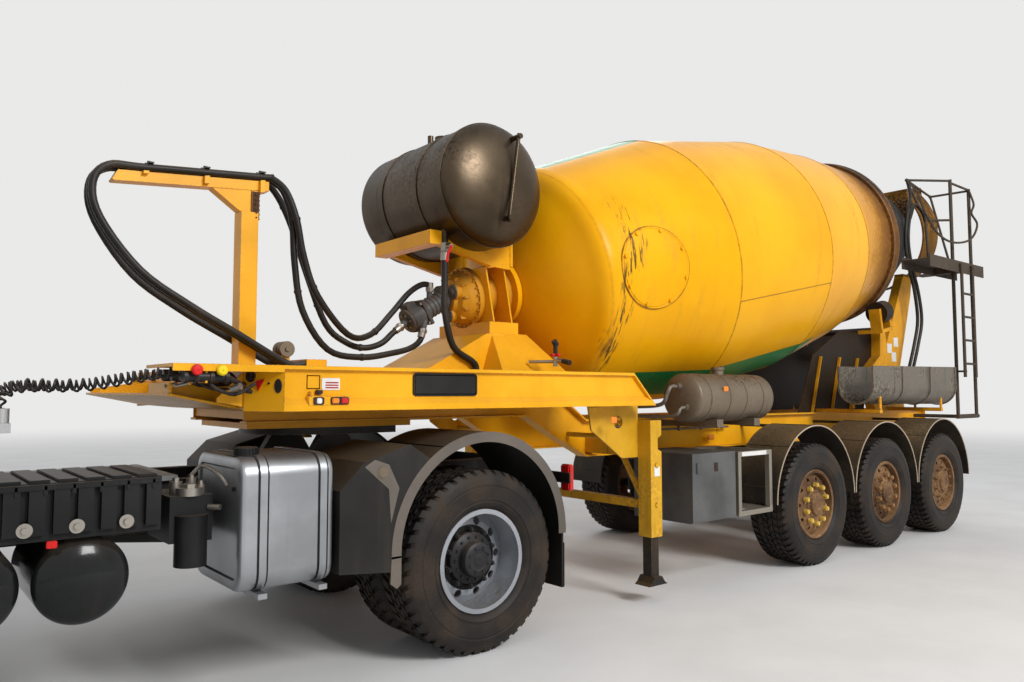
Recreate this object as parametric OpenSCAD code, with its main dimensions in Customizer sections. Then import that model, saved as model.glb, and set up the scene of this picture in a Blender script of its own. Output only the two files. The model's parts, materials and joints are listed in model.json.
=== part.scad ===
// Articulated concrete mixer: a two-axle tractor unit and a three-axle mixer semi-trailer.
// +X points forward, +Y to the left, +Z up. The origin is on the ground under the middle
// of the lorry's length. The modules are written from the tractor's drive axle.

/* [Lorry] */
// Front of the bumper, ahead of the drive axle
front_end = 5080; // [5060:10:5200]
// Rear end of the trailer, behind the drive axle
rear_end = 7960; // [7940:10:8200]
// Half of the body width
half_w = 1200; // [1190:5:1220]
// Height of the coupling plate above the ground
couple_z = 1300; // [1295:1:1310]
// Kingpin ahead of the drive axle
kingpin_x = 550; // [500:10:600]

/* [Wheels] */
// Outer radius of every tyre
tyre_r = 530; // [520:1:535]
// Radius of the rim's bead seat
bead_r = 286; // [280:1:292]
// Width of a tractor tyre
tyre_w = 310; // [290:5:315]
// Width of a trailer tyre
wide_w = 385; // [360:5:390]
// Width of the tractor rims between their flanges
seat_w = 230; // [220:5:235]
// Width of the trailer rims between their flanges
wide_seat = 300; // [290:5:305]
// Height of a rim's flange
flange_h = 14; // [10:1:16]
// Wheelbase of the tractor
wheelbase = 3650; // [3600:10:3700]
// First trailer axle behind the drive axle
axle_1 = 3690; // [3680:10:3720]
// Spacing of the trailer axles
axle_gap = 1310; // [1300:5:1320]
// Middle of a steered tyre from the centre line
steer_y = 1020; // [1010:5:1030]
// Outer side of the twin and trailer tyres from the centre line
outer_y = 1235; // [1225:5:1240]

/* [Drum] */
// Angle by which the drum's axis rises to the rear
drum_tilt = 11.1; // [10.8:0.1:11.4]
// Height of the point that the drum's lengths are counted from
flange_z = 2348; // [2340:2:2360]
// Distance of that point behind the drive axle
flange_x = 1250; // [1240:5:1270]
// Largest outer radius of the drum
drum_r = 1197; // [1185:1:1200]
// Thickness of the drum's shell
drum_wall = 12; // [8:1:16]
// Radius of the drum's mouth
mouth_r = 560; // [520:5:580]
// Outer radius of the track ring
ring_r = 965; // [960:5:975]
// Place of the track ring along the axis
ring_t = 4760; // [4740:10:4780]
// Radius of a drum roller
roller_r = 125; // [115:5:130]

/* [Trailer frame] */
// Top of the neck beams
deck_z = 1650; // [1640:5:1660]
// Bottom of the outer neck beams
beam_z = 1420; // [1410:5:1430]
// Top of the rear frame
rail_top = 1300; // [1290:5:1310]
// Bottom of the rear frame
rail_low = 1010; // [1000:5:1020]
// Outer side of a frame rail from the centre line
rail_y = 500; // [490:5:510]
// Width of a rail's flanges
flange_w = 110; // [90:5:120]
// Thickness of webs and flanges
plate = 12; // [8:1:16]

/* [Cab] */
// Rear wall of the cab ahead of the drive axle
cab_rear = 2800; // [2790:10:2840]
// Bottom of the cab
cab_floor = 1180; // [1175:1:1190]
// Top of the roof
roof_z = 3050; // [3000:10:3080]
// Thickness of the cab's walls and doors
wall = 50; // [45:1:55]
// Gap round a door
door_gap = 7; // [6:1:10]

/* [Hidden] */
$fn = 64;
cab_shift = wheelbase - 3650;
drive_x = (rear_end - front_end - cab_shift) / 2;
yellow = "#f0a800";
dark = "#2b2b2c";
steel = "#9a9c9e";
run_gap = 0.3;
eps = 0.01;

// A block between two opposite corners
module block(a, b) {
  translate([min(a.x, b.x), min(a.y, b.y), min(a.z, b.z)])
    cube([abs(b.x - a.x), abs(b.y - a.y), abs(b.z - a.z)]);
}

// A side outline in X and Z, drawn from one lateral place to another
module slab(points, y0, y1) {
  translate([0, max(y0, y1), 0]) rotate([90, 0, 0])
    linear_extrude(abs(y1 - y0)) polygon(points);
}

// A cross-section in Y and Z, drawn from one lengthwise place to another
module beam(points, x0, x1) {
  translate([min(x0, x1), 0, 0]) rotate([90, 0, 90])
    linear_extrude(abs(x1 - x0)) polygon(points);
}

// A plan outline in X and Y, drawn between two heights
module plan(points, z0, z1) {
  translate([0, 0, min(z0, z1)]) linear_extrude(abs(z1 - z0)) polygon(points);
}

// A round bar between two points
module bar(a, b, r) {
  d = b - a;
  translate(a) rotate([0, acos(d.z / norm(d)), atan2(d.y, d.x)]) cylinder(h = norm(d), r = r);
}

// A cylinder along Y between two lateral places
module across(x, z, y0, y1, r) {
  bar([x, min(y0, y1), z], [x, max(y0, y1), z], r);
}

// The same piece on both sides of the centre line
module both() {
  children();
  mirror([0, 1, 0]) children();
}

// Puts a piece drawn from the drive axle into the lorry's own frame
module place() {
  translate([drive_x, 0, 0]) children();
}

// Puts a piece drawn about its own Z axis on an axle's line, facing outward on the left
module on_axle(x, y) {
  translate([x, y, tyre_r]) rotate([-90, 0, 0]) children();
}

// A tyre about the Z axis, its outer side at z = 0, on a rim with a seat of the given width
module tyre(w, seat_w) {
  side = (w - seat_w) / 2;
  shoulder = 26;
  rotate_extrude($fn = 72)
    polygon([
      [bead_r + run_gap, side - w], [bead_r + flange_h + 2, side - w], [bead_r + 60, 6 - w],
      [tyre_r - 95, -w], [tyre_r - shoulder, 14 - w], [tyre_r, shoulder + 12 - w],
      [tyre_r, -shoulder - 12], [tyre_r - shoulder, -14], [tyre_r - 95, 0], [bead_r + 60, -6],
      [bead_r + flange_h + 2, -side], [bead_r + run_gap, -side]]);
}

// Moves the cab, drawn for a wheelbase of 3650, with the front axle
module with_cab() {
  translate([cab_shift, 0, 0]) children();
}

// The barrel of a rim that holds such a tyre
module barrel(w, seat_w) {
  out = -(w - seat_w) / 2 + run_gap;
  in = -w + (w - seat_w) / 2 - run_gap;
  rotate_extrude($fn = 72)
    polygon([
      [bead_r - 14, out + 12], [bead_r + flange_h, out + 12], [bead_r + flange_h, out],
      [bead_r, out], [bead_r, in], [bead_r + flange_h, in], [bead_r + flange_h, in - 12],
      [bead_r - 14, in - 12]]);
}

// The disc of a rim, its face at z = face, with ten hand holes
module disc(face) {
  difference() {
    rotate_extrude($fn = 72)
      polygon([
        [bead_r - 13, face - 62], [bead_r - 13, face - 40], [225, face - 14], [165, face], [90, face],
        [90, face - 14], [165, face - 14], [225, face - 30]]);
    for (k = [0:9])
      rotate([0, 0, 36 * k]) translate([218, 0, face - 80]) cylinder(h = 90, r = 24, $fn = 24);
  }
}

// A hub about the Z axis, its flange behind the disc and its cap in front
module hub(face, cap) {
  translate([0, 0, face - 60]) cylinder(h = 46, r = 160);
  translate([0, 0, face - 20]) cylinder(h = 20 + cap, r = 89);
}

hub_r = 44;

module axle_wheel_bore(depth) {
  cylinder(h = depth, r = hub_r);
}

// Tractor frame: two C rails, their cross members and the front and rear end plates
rail_out = 400;
rail_t = 10;
tf_top = 1040;
tf_low = 770;
tf_rear = -870;
tf_front = 4700;
tf_end = tf_front + cab_shift;
tow_r = 20;

module tractor_frame() {
  color("#3a3b3d") {
    both()
      beam([
        [rail_out, tf_low], [rail_out, tf_top], [rail_out - 80, tf_top], [rail_out - 80, tf_top - rail_t],
        [rail_out - rail_t, tf_top - rail_t], [rail_out - rail_t, tf_low + rail_t],
        [rail_out - 80, tf_low + rail_t], [rail_out - 80, tf_low]], tf_rear, tf_end);
    for (x = [-620, 265, 1180, 2060])
      block([x - 40, -rail_out + rail_t / 2, tf_low + 60], [x + 40, rail_out - rail_t / 2, tf_top - 60]);
    block([tf_rear - 12, -rail_out, tf_low - 20], [tf_rear + eps, rail_out, tf_top]);
    difference() {
      block([tf_end - eps, -rail_out - 40, tf_low - 60], [tf_end + 60, rail_out + 40, tf_low + 160]);
      translate([tf_end + 30, 0, tf_low - 61]) cylinder(h = 222, r = tow_r);
    }
  }
}

// Fifth wheel: plate with its throat, the two pedestals and the sub plate on the rails
module fifth_wheel() {
  throat = 32;
  plate_t = 45;
  top = couple_z - run_gap;
  color("#4a4a48") translate([kingpin_x, 0, 0]) {
    difference() {
      union() {
        translate([0, 0, top - plate_t]) cylinder(h = plate_t, r = 430);
        plan([[0, -430], [0, 430], [-420, 430], [-500, 260], [-500, -260], [-420, -430]],
             top - plate_t, top);
      }
      translate([0, 0, top - plate_t - 1]) cylinder(h = plate_t + 2, r = throat);
      plan([[0, -throat], [0, throat], [-340, throat + 30], [-520, 170], [-520, -170], [-340, -throat - 30]],
           top - plate_t - 1, top + 1);
    }
    both() slab([
      [-210, tf_top + 16], [210, tf_top + 16], [90, top - plate_t], [-90, top - plate_t]], 330, 400);
    block([-330, -430, tf_top], [330, 430, tf_top + 16 + eps]);
  }
}

// Engine and gearbox as one plain block with the radiator in front
module engine() {
  color("#55585a") {
    block([3060, -300, 560], [4420, 300, 1440]);
    block([4419, -310, 700], [4520, 310, 1400]);
    block([2300, -150, 640], [3061, 150, 1000]);
    for (x = [3150, 4300])
      block([x, -rail_out + rail_t, 800], [x + 60, rail_out - rail_t, 880]);
  }
}

axle_tube = 75;

// Drive axle: banjo housing, tubes, prop shaft, air bellows and their carriers
module drive_axle() {
  color("#2f3032") {
    translate([0, 0, tyre_r]) sphere(r = 215);
    across(0, tyre_r, -760, 760, axle_tube);
    across(0, tyre_r, -1140, 1140, hub_r - run_gap);
    bar([180, 0, tyre_r + 20], [2292, 0, 780], 52);
    both() {
      slab([
        [-560, tyre_r - 60], [520, tyre_r - 20], [560, tyre_r + 170], [500, tyre_r + 200], [440, tyre_r + 40],
        [-560, tyre_r]], 425, 500);
      translate([-470, 490, tyre_r - eps]) cylinder(h = tf_low + 60 - tyre_r, r = 80);
      translate([-470, 490, tyre_r - 30]) cylinder(h = 60, r = 86);
      block([-520, rail_out, tf_low + 58], [-420, 480, tf_low + 120]);
      block([500, rail_out, tyre_r + 150], [580, 500, tf_top - 60]);
    }
  }
}

pin_y = 880;

// Front axle: dropped beam with leaf springs on both sides
module front_axle() {
  color("#2f3032") translate([wheelbase, 0, 0]) {
    beam([
      [-760, 470], [-560, 400], [560, 400], [760, 470], [760, 560], [520, 500], [-520, 500], [-760, 560]],
      -60, 60);
    both() {
      block([-45, 750, 470], [45, pin_y, 560]);
      translate([0, pin_y, 470]) cylinder(h = 90, r = 45);
      slab([
        [-780, 660], [-300, 590], [300, 590], [780, 660], [780, 680], [300, 620], [-300, 620], [-780, 680]],
        360, 440);
      block([-100, 370, 495], [100, 430, 592]);
      block([-800, 360, 655], [-740, 440, tf_low]);
      block([740, 360, 655], [800, 440, tf_low]);
    }
  }
}

// Left knuckle: fork round the axle's end, kingpin, stub and steering arm
module knuckle() {
  color("#3a3b3d") translate([wheelbase, 0, 0]) {
    for (z = [[400, 470 - run_gap], [560 + run_gap, 640]])
      block([-50, pin_y - 45, z[0]], [50, pin_y + 60, z[1]]);
    block([-50, pin_y + 52, 399], [50, pin_y + 80, 641]);
    bar([0, pin_y + 70, tyre_r], [0, steer_y + 120, tyre_r], hub_r - run_gap);
    bar([-40, pin_y - 20, 440], [-260, pin_y - 60, 440], 18);
  }
}

// Steered wheel of the left side
steer_face = steer_y + tyre_w / 2;
module front_rim() {
  color(steel) on_axle(wheelbase, steer_face) difference() {
    union() {
      barrel(tyre_w, seat_w);
      disc(-40);
      hub(-40, 60);
    }
    translate([0, 0, -400]) axle_wheel_bore(368);
  }
}

module front_tyre() {
  color(dark) on_axle(wheelbase, steer_face) tyre(tyre_w, seat_w);
}

// Twin drive wheels of the left side: deep outer rim, shallow inner rim
twin_gap = 35;
module drive_rims() {
  color(steel) on_axle(0, outer_y) difference() {
    union() {
      barrel(tyre_w, seat_w);
      translate([0, 0, -tyre_w - twin_gap]) barrel(tyre_w, seat_w);
      rotate_extrude($fn = 72)
        translate([bead_r - 14, -tyre_w - twin_gap - 40]) square([6, twin_gap + 80]);
      disc(-170);
      hub(-170, 100);
    }
    translate([0, 0, -700]) axle_wheel_bore(608);
  }
}

module drive_tyres() {
  color(dark) {
    on_axle(0, outer_y) tyre(tyre_w, seat_w);
    on_axle(0, outer_y - tyre_w - twin_gap) tyre(tyre_w, seat_w);
  }
}

// One trailer wheel of the left side, tyre and rim as two solids
module trailer_wheel(n) {
  on_axle(-axle_1 - (n - 1) * axle_gap, outer_y) {
    color(dark) tyre(wide_w, wide_seat);
    color("#6a4a30") difference() {
      union() {
        barrel(wide_w, wide_seat);
        disc(-50);
        hub(-50, 40);
      }
      translate([0, 0, -500]) axle_wheel_bore(440);
    }
  }
}

// Cab: outline of its side, wall by wall
nose_x = 5000;
axle_f = wheelbase - cab_shift;
arch_r = 700;
cab_side = [
  [cab_rear, cab_floor], [cab_rear, roof_z - 60], [cab_rear + 60, roof_z], [nose_x - 340, roof_z],
  [nose_x - 260, roof_z - 60], [nose_x - 20, 1950], [nose_x, 1800], [nose_x, cab_floor]];
cab_in = [
  [cab_rear + wall, cab_floor + wall], [cab_rear + wall, roof_z - 90], [cab_rear + 90, roof_z - wall],
  [nose_x - 370, roof_z - wall], [nose_x - 305, roof_z - 100], [nose_x - 70, 1945],
  [nose_x - wall, 1790], [nose_x - wall, cab_floor + wall]];
door_rear = 3760;
door_front = 4800;
door_side = [
  [door_rear, 1560], [door_rear, 2880], [door_front - 180, 2880], [door_front, 2100],
  [door_front, cab_floor + 20], [door_rear + 560, cab_floor + 20], [door_rear + 330, 1330]];
door_in = [
  [door_rear + door_gap, 1560 + door_gap / 2], [door_rear + door_gap, 2880 - door_gap],
  [door_front - 180 - door_gap, 2880 - door_gap], [door_front - door_gap, 2100],
  [door_front - door_gap, cab_floor + 20 + door_gap], [door_rear + 563, cab_floor + 20 + door_gap],
  [door_rear + 335, 1330 + door_gap]];
window_side = [
  [door_rear + 110, 1960], [door_rear + 110, 2790], [door_front - 260, 2790], [door_front - 110, 2110],
  [door_front - 110, 1960]];
window_in = [
  [door_rear + 110 + run_gap, 1960 + run_gap], [door_rear + 110 + run_gap, 2790 - run_gap],
  [door_front - 260 - run_gap, 2790 - run_gap], [door_front - 110 - run_gap, 2110],
  [door_front - 110 - run_gap, 1960 + run_gap]];

hinge_heights = [1420, 1900];
hinge_x = door_front - door_gap / 2;

module windscreen_cut(t, inset) {
  slab([
    [nose_x - 20 - t, 1960 + inset], [nose_x + 60, 1960 + inset], [nose_x - 200, roof_z - 90 - inset],
    [nose_x - 280 - t, roof_z - 90 - inset]], -1090 + inset, 1090 - inset);
}

module cab_shell() {
  color("#e9eaea") difference() {
    slab(cab_side, -half_w, half_w);
    difference() {
      slab(cab_in, -half_w + wall, half_w - wall);
      block([2900, -520, cab_floor], [4700, 520, 1560]);
    }
    block([cab_rear - 1, -470, cab_floor - 1], [4650, 470, 1510]);
    slab(door_side, -half_w - 1, half_w + 1);
    windscreen_cut(90, 0);
    both() on_axle(axle_f, 700) cylinder(h = 600, r = arch_r);
    block([cab_rear - 1, -420, 2250], [cab_rear + wall + 1, 420, 2700]);
    both() for (z = hinge_heights)
      translate([hinge_x, half_w, z - 20]) cylinder(h = 100, r = 18);
  }
  color("#e9eaea") both() for (z = hinge_heights) {
    for (k = [z - 19.5, z + 61.5])
      translate([hinge_x, half_w, k]) {
        cylinder(h = 18, r = 12);
        translate([6, -10, 0]) cube([22, 10, 18]);
      }
    translate([hinge_x, half_w, z - 19]) cylinder(h = 98, r = 6);
  }
}

module door() {
  color("#e9eaea") difference() {
    slab(door_in, half_w - wall, half_w);
    slab(window_side, half_w - wall - 1, half_w + 1);
    for (z = hinge_heights)
      translate([hinge_x, half_w, z - 20]) cylinder(h = 100, r = 18);
  }
  color("#e9eaea") for (z = hinge_heights)
    translate([hinge_x, half_w, z]) difference() {
      union() {
        cylinder(h = 60, r = 12);
        translate([-26, -10, 0]) cube([20, 10, 60]);
      }
      translate([0, 0, -1]) cylinder(h = 62, r = 6 + run_gap);
    }
}

module door_glass() {
  color("#6b7a80") slab(window_in, half_w - 32, half_w - 26);
}

module cab_glass() {
  color("#6b7a80") {
    slab([
      [nose_x - 52, 1960 + run_gap], [nose_x - 44, 1960 + run_gap], [nose_x - 286, roof_z - 90 - run_gap],
      [nose_x - 294, roof_z - 90 - run_gap]], -1090 + run_gap, 1090 - run_gap);
    block([cab_rear + 20, -420 + run_gap, 2250 + run_gap], [cab_rear + 26, 420 - run_gap, 2700 - run_gap]);
  }
}

module cab_seats() {
  color("#3c3f45") {
    both() {
      block([3800, half_w - 590, cab_floor + wall], [4150, half_w - 200, 1500]);
      block([3760, half_w - 640, 1500 - eps], [4260, half_w - 140, 1640]);
      slab([[3700, 1600], [3820, 1600], [3740, 2360], [3640, 2360]], half_w - 620, half_w - 160);
    }
    block([cab_rear + wall, -half_w + wall, 1570], [3500, half_w - wall, 1680]);
  }
}

wheel_y = half_w - 400;
module dashboard() {
  color("#34363a") {
    slab([
      [4640, 1230], [4940, 1230], [4930, 1790], [4890, 1900], [4700, 1900], [4560, 1760], [4640, 1560]],
      -half_w + wall + run_gap, half_w - wall - run_gap);
    bar([4640, wheel_y, 1750], [4440, wheel_y, 1900], 26);
    translate([4440, wheel_y, 1900]) rotate([0, -37, 0]) rotate_extrude($fn = 48)
      translate([215, 0]) circle(r = 15, $fn = 16);
    translate([4440, wheel_y, 1900]) rotate([0, -37, 0]) for (k = [0:2])
      rotate([0, 0, 120 * k]) translate([0, -18, -8]) cube([212, 36, 16]);
  }
}

module mirrors() {
  color(dark) both() {
    for (z = [2050, 2480])
      bar([4830, half_w, z], [4830, half_w + 170, z], 12);
    block([4810, half_w + 60, 1990], [4900, half_w + 240, 2380]);
    block([4810, half_w + 60, 2400], [4900, half_w + 240, 2600]);
  }
}

// Bumper with its lamp pockets, air slots and the grille bars above
module bumper() {
  color("#d9dadb") {
    difference() {
      plan([
        [4780, -half_w], [4780, half_w], [4960, half_w], [front_end - 30, half_w - 180],
        [front_end, half_w - 420], [front_end, -half_w + 420], [front_end - 30, -half_w + 180],
        [4960, -half_w]], 340, 900);
      plan([
        [4700, -half_w + 60], [4700, half_w - 60], [4940, half_w - 60], [5000, half_w - 220],
        [5010, -half_w + 420], [5000, -half_w + 220], [4940, -half_w + 60]], 300, 860);
      both() block([4900, 760, 560], [front_end + 10, 1120, 740]);
      block([4900, -560, 480], [front_end + 10, 560, 760]);
    }
    for (k = [0:3])
      block([4990, -562, 500 + 66 * k], [5040, 562, 530 + 66 * k]);
    for (k = [0:6])
      slab([
        [nose_x, 960 + 118 * k], [front_end - 20, 960 + 118 * k], [front_end - 30, 1030 + 118 * k],
        [nose_x, 1040 + 118 * k]], -860, 860);
    block([nose_x, -870, 899], [nose_x + 12, 870, 1790]);
    both() block([tf_front + 60, 330, 780], [4800, 430, 870]);
  }
}

module headlamps() {
  color("#e8eef2") both() block([4960, 760 + run_gap, 560 + run_gap], [5020, 1120 - run_gap, 740 - run_gap]);
}

module cab_steps() {
  arch_in = half_w - 340;
  color(dark) both() {
    difference() {
      block([axle_f + 610, half_w - 320, 420], [4778, half_w, cab_floor - run_gap]);
      on_axle(axle_f, 600) cylinder(h = half_w, r = arch_r);
      for (z = [500, 760])
        block([4420, half_w - 190, z], [4740, half_w + 1, z + 200]);
    }
    block([4400, rail_out, 860], [4460, half_w - 319, 940]);
    difference() {
      on_axle(axle_f, arch_in) cylinder(h = half_w - arch_in, r = arch_r - run_gap);
      on_axle(axle_f, arch_in - 10) cylinder(h = half_w, r = arch_r - 18);
      block([axle_f - 60, arch_in - 60, -200], [axle_f + 800, half_w + 60, 1400]);
      block([axle_f - 800, arch_in - 60, -200], [axle_f + 800, half_w + 60, tyre_r - 50]);
    }
    block([axle_f - 660, rail_out, tyre_r + 370], [axle_f - 610, half_w - 300, tyre_r + 430]);
  }
}

module fuel_tank() {
  color("#b9bdc0") {
    beam([
      [560, 590], [600, 560], [1160, 560], [1215, 620], [1215, 1150], [1160, 1205], [600, 1205], [560, 1175]],
      960, 1440);
    for (x = [1060, 1290])
      block([x, rail_out, 800], [x + 40, 561, 880]);
    translate([1370, 1080, 1200]) cylinder(h = 45, r = 55);
  }
}

module battery_box() {
  color("#232425") {
    for (x = [1790:90:2690])
      block([x, 1120, 930], [x + 60, 1180, 1130]);
    block([1780, 560, 900], [2760, 1150, 1140]);
    for (x = [1850, 2560])
      block([x, rail_out, 940], [x + 60, 561, 1000]);
    block([1500, 640, 800], [1700, 1000, 1020]);
    translate([1600, 1000, 690]) cylinder(h = 240, r = 75);
    block([1560, rail_out, 860], [1640, 641, 930]);
  }
}

module air_tanks() {
  color("#1d1e1f") {
    for (x = [2080, 2500]) {
      across(x, 710, 520, 1080, 190);
      translate([x, 1080, 710]) scale([1, 0.4, 1]) sphere(r = 190);
      block([x - 30, rail_out, 800], [x + 30, 700, 899]);
    }
    both() block([2600, rail_out, 860], [2640, rail_out + 10, 870]);
  }
}

guard_z = 650;
guard_r = 632;
module drive_mudguards() {
  color("#303234") both() {
    difference() {
      union() {
        translate([0, 1240, guard_z]) rotate([90, 0, 0]) cylinder(h = 640, r = guard_r);
        slab([[0, 500], [940, 590], [940, 1010], [800, 1150], [520, 1230], [0, 900]], 600, 1240);
      }
      translate([0, 1241, guard_z]) rotate([90, 0, 0]) cylinder(h = 642, r = guard_r - 20);
      block([-800, 590, 0], [guard_r - 21, 1250, guard_z]);
      slab([[560, 480], [925, 480], [925, 1000], [790, 1130], [600, 1180]], 590, 1222);
    }
    block([-guard_r, 640, 285], [-guard_r + 14, 1220, guard_z + eps]);
    for (x = [-600, 700])
      block([x, rail_out, 840], [x + 40, 601, 900]);
  }
}

module catwalk() {
  color("#a9acae") {
    for (y = [-380:95:380])
      block([1500, y, tf_top], [2720, y + 60, tf_top + 26]);
    for (x = [1500, 2080, 2680])
      block([x, -400, tf_top], [x + 40, 440, tf_top + 26]);
    block([coil_end_x - 30, 330, tf_top], [coil_end_x + 30, 380, coil_end_z - 80]);
    block([coil_end_x - 30, 330, coil_end_z - 100], [coil_end_x + 30, 1150, coil_end_z - 60]);
    for (y = coil_y)
      translate([coil_end_x, y, coil_end_z - 61]) cylinder(h = 61, r = 30);
  }
}

web_out = rail_y - flange_w / 2 + plate / 2;
web_in = web_out - plate;

// Trailer frame: two I rails that drop behind the neck, cross members, coupling plate and kingpin
rail_line = [[1150, couple_z + 34, 1625], [-950, couple_z + 34, 1625],
  [-1180, 1200, 1560], [-1560, rail_low, rail_top], [-7570, rail_low, rail_top]];
function rail_side(inset) = concat(
  [for (s = rail_line) [s[0], s[1] + inset]],
  [for (k = [len(rail_line) - 1:-1:0]) [rail_line[k][0], rail_line[k][2] - inset]]);
trailer_members = [1110, 300, -500, -2700, -3300, -4360, -5660, -7100];

module trailer_frame() {
  web_y = rail_y - flange_w / 2;
  color(yellow) {
    both() {
      difference() {
        slab(rail_side(0), rail_y - flange_w, rail_y);
        slab(rail_side(14), rail_y - flange_w - 1, web_y - plate / 2);
        slab(rail_side(14), web_y + plate / 2, rail_y + 1);
      }
    }
    for (x = trailer_members) {
      top = x > -1000 ? 1560 : rail_top - 40;
      low = x > -1000 ? couple_z + 60 : rail_low + 40;
      block([x - 30, -web_y, low], [x + 30, web_y, top]);
    }
    block([-7582, -rail_y, rail_low], [-7570, rail_y, rail_top]);
  }
  color("#5b5a55") {
    plan([
      [kingpin_x + 560, -400], [kingpin_x + 560, 400], [kingpin_x - 500, 480], [kingpin_x - 500, -480]],
      couple_z, couple_z + 34 + eps);
    translate([kingpin_x, 0, couple_z - 84]) cylinder(h = 90, r = 25.4);
    translate([kingpin_x, 0, couple_z - 84]) cylinder(h = 12, r = 31);
  }
}

neck_front = 1230;
box_front = 1360;
box_y = 1010;
wing_front = 1760;
wing_y = 760;
deck_top = deck_z - 2;
side_section = [
  [half_w, deck_z], [half_w, deck_z - 20], [half_w - 25, deck_z - 20], [half_w - 25, beam_z + 65],
  [half_w, beam_z + 35], [half_w, beam_z], [half_w - 80, beam_z], [half_w - 80, beam_z + plate],
  [half_w - 37, beam_z + plate], [half_w - 37, deck_z - plate], [half_w - 80, deck_z - plate],
  [half_w - 80, deck_z]];
// Neck: side beams, deck, the box nose with its ribs and the wing over the air couplings
module neck_beams() {
  color(yellow) {
    both() {
      intersection() {
        beam(side_section, -1600, neck_front);
        slab([
          [neck_front, beam_z - 1], [neck_front, deck_z + 1], [-1330, deck_z + 1], [-1561, beam_z - 1]],
          half_w - 81, half_w + 1);
      }
      slab([[-1322, deck_z], [-1338, deck_z], [-1568, beam_z], [-1552, beam_z]], half_w - 80, half_w);
      plan([
        [neck_front - 1, half_w], [neck_front - 1, half_w - 14], [box_front - 14, box_y - 14],
        [box_front, box_y - 14], [box_front, box_y]], beam_z, deck_z);
      for (x = [900, 100, -700, -1145])
        block([x - 5, rail_y, beam_z + 20], [x + 5, half_w - 30, deck_z - plate]);
      slab([
        [box_front - 1, beam_z + 22], [1490, beam_z + 46], [1490, beam_z + 66], [box_front - 1, deck_z - 30]],
        box_y - 26, box_y - 14);
      for (y = [560, 820])
        slab([
          [box_front - 1, beam_z + 22], [1690, beam_z + 80], [1690, beam_z + 120], [1600, beam_z + 130],
          [box_front - 1, deck_z - 60]], y, y + 12);
    }
    block([box_front - 12, -box_y + 1, beam_z + 8], [box_front, box_y - 1, deck_z]);
    block([1680, 550, beam_z + 80], [1692, 910, beam_z + 144]);
    slab([
      [1150, beam_z - 12], [1360, beam_z + 10], [1700, beam_z + 80], [1700, beam_z + 92], [1358, beam_z + 22],
      [1150, beam_z]], -920, 920);
    plan([
      [-1300, -half_w + 40], [-1300, half_w - 40], [neck_front, half_w - 40], [box_front - 1, box_y],
      [box_front - 1, -box_y], [neck_front, -half_w + 40]], deck_z - 12 - eps, deck_top);
    block([neck_front - 1, wing_y, deck_z - 12], [wing_front, half_w, deck_z]);
    block([neck_front - 1, half_w - 8, deck_z - 35], [wing_front, half_w, deck_z - 11]);
    block([wing_front - 8, wing_y, deck_z - 16], [wing_front, half_w, deck_z - 11]);
    block([1598, wing_y, 1560], [1608, half_w - 20, deck_z - 11]);
    for (y = coil_y)
      bar([1600, y, 1600], [1690 - run_gap, y, 1600], 24);
  }
}

mast_x = 990;
mast_top = 2660;
module hose_mast() {
  color(yellow) {
    block([mast_x - 150, -150, deck_top], [mast_x + 150, 150, deck_top + 16]);
    block([mast_x - 55, -60, deck_top + 15], [mast_x + 55, 60, mast_top]);
    slab([[863, 2814], [863, 2877], [1760, 2798], [1790, 2740], [1780, 2733]], -45, 45);
    slab([[mast_x - 15, mast_top - 1], [1047, mast_top - 1], [1225, 2784], [mast_x - 15, 2805]], -40, 40);
    block([mast_x - 62, -50, 2610], [mast_x - 14, 50, 2802]);
    for (x = [900, 1250, 1600])
      slab([[x, 2795], [x + 30, 2792], [x + 30, 2874 - 0.0882 * (x - 863)], [x, 2877 - 0.0882 * (x - 863)]],
           -75, 75);
    block([500, -120, deck_top], [640, 170, deck_top + 80]);
    block([700, -40, deck_top], [750, 40, 1790]);
    across(725, 1795, -58, 58, 34);
    for (y = [-58, 50])
      across(725, 1795, y, y + 8, 44);
  }
}

// Pyramid under the gearbox, its yoke and the arms that cradle the water tank
stand_top = 1955;
module gearbox_stand() {
  color(yellow) difference() {
    union() {
      difference() {
        union() {
          intersection() {
            slab([[-640, deck_top], [-740, stand_top], [-1080, stand_top], [-1280, deck_top]], -601, 601);
            beam([[-600, deck_top], [-330, stand_top], [330, stand_top], [600, deck_top]], -1281, -639);
          }
          slab([
            [-110, deck_top], [-341, 1766], [-682, 1946], [-760, stand_top - 1], [-860, stand_top - 1],
            [-860, deck_top]], -350, 350);
        }
        intersection() {
          slab([[-652, deck_top - 1], [-752, stand_top - 12], [-1068, stand_top - 12], [-1268, deck_top - 1]],
               -601, 601);
          beam([[-588, deck_top - 1], [-318, stand_top - 12], [318, stand_top - 12], [588, deck_top - 1]],
               -1281, -639);
        }
        slab([
          [-135, deck_top - 1], [-346, 1754], [-686, 1933], [-762, stand_top - 14], [-850, stand_top - 14],
          [-850, deck_top - 1]], -338, 338);
      }
      block([-1000, -330, stand_top - 13], [-725, 330, stand_top + 85]);
      on_drum(-500) {
        for (t = [0, 170])
          translate([-255, -280, t]) cube([455, 560, 14]);
        translate([193, -312, 0]) cube([12, 624, 184]);
      }
      both() {
        slab([[-505, 2566], [-710, 2458], [-915, 2447], [-935, 2447], [-935, 2790], [-505, 2790]], 290, 310);
        block([-960, 285, 2470], [-934, 315, 2790]);
        slab([[-250, 2560], [-250, 2650], [-730, 2530], [-730, 2450]], 290, 345);
      }
      block([-260, -380, 2550], [-160, 380, 2649]);
    }
    on_drum(-780) cylinder(h = 280, r = flange_r + run_gap);
    on_drum(-501) cylinder(h = 300, r = neck_r + run_gap);
    across(tank_c.x, tank_c.z, -700, 700, tank_r + run_gap);
  }
}

module on_drum(t) {
  translate([-flange_x, 0, flange_z]) rotate([0, drum_tilt - 90, 0]) translate([0, 0, t]) children();
}

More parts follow.
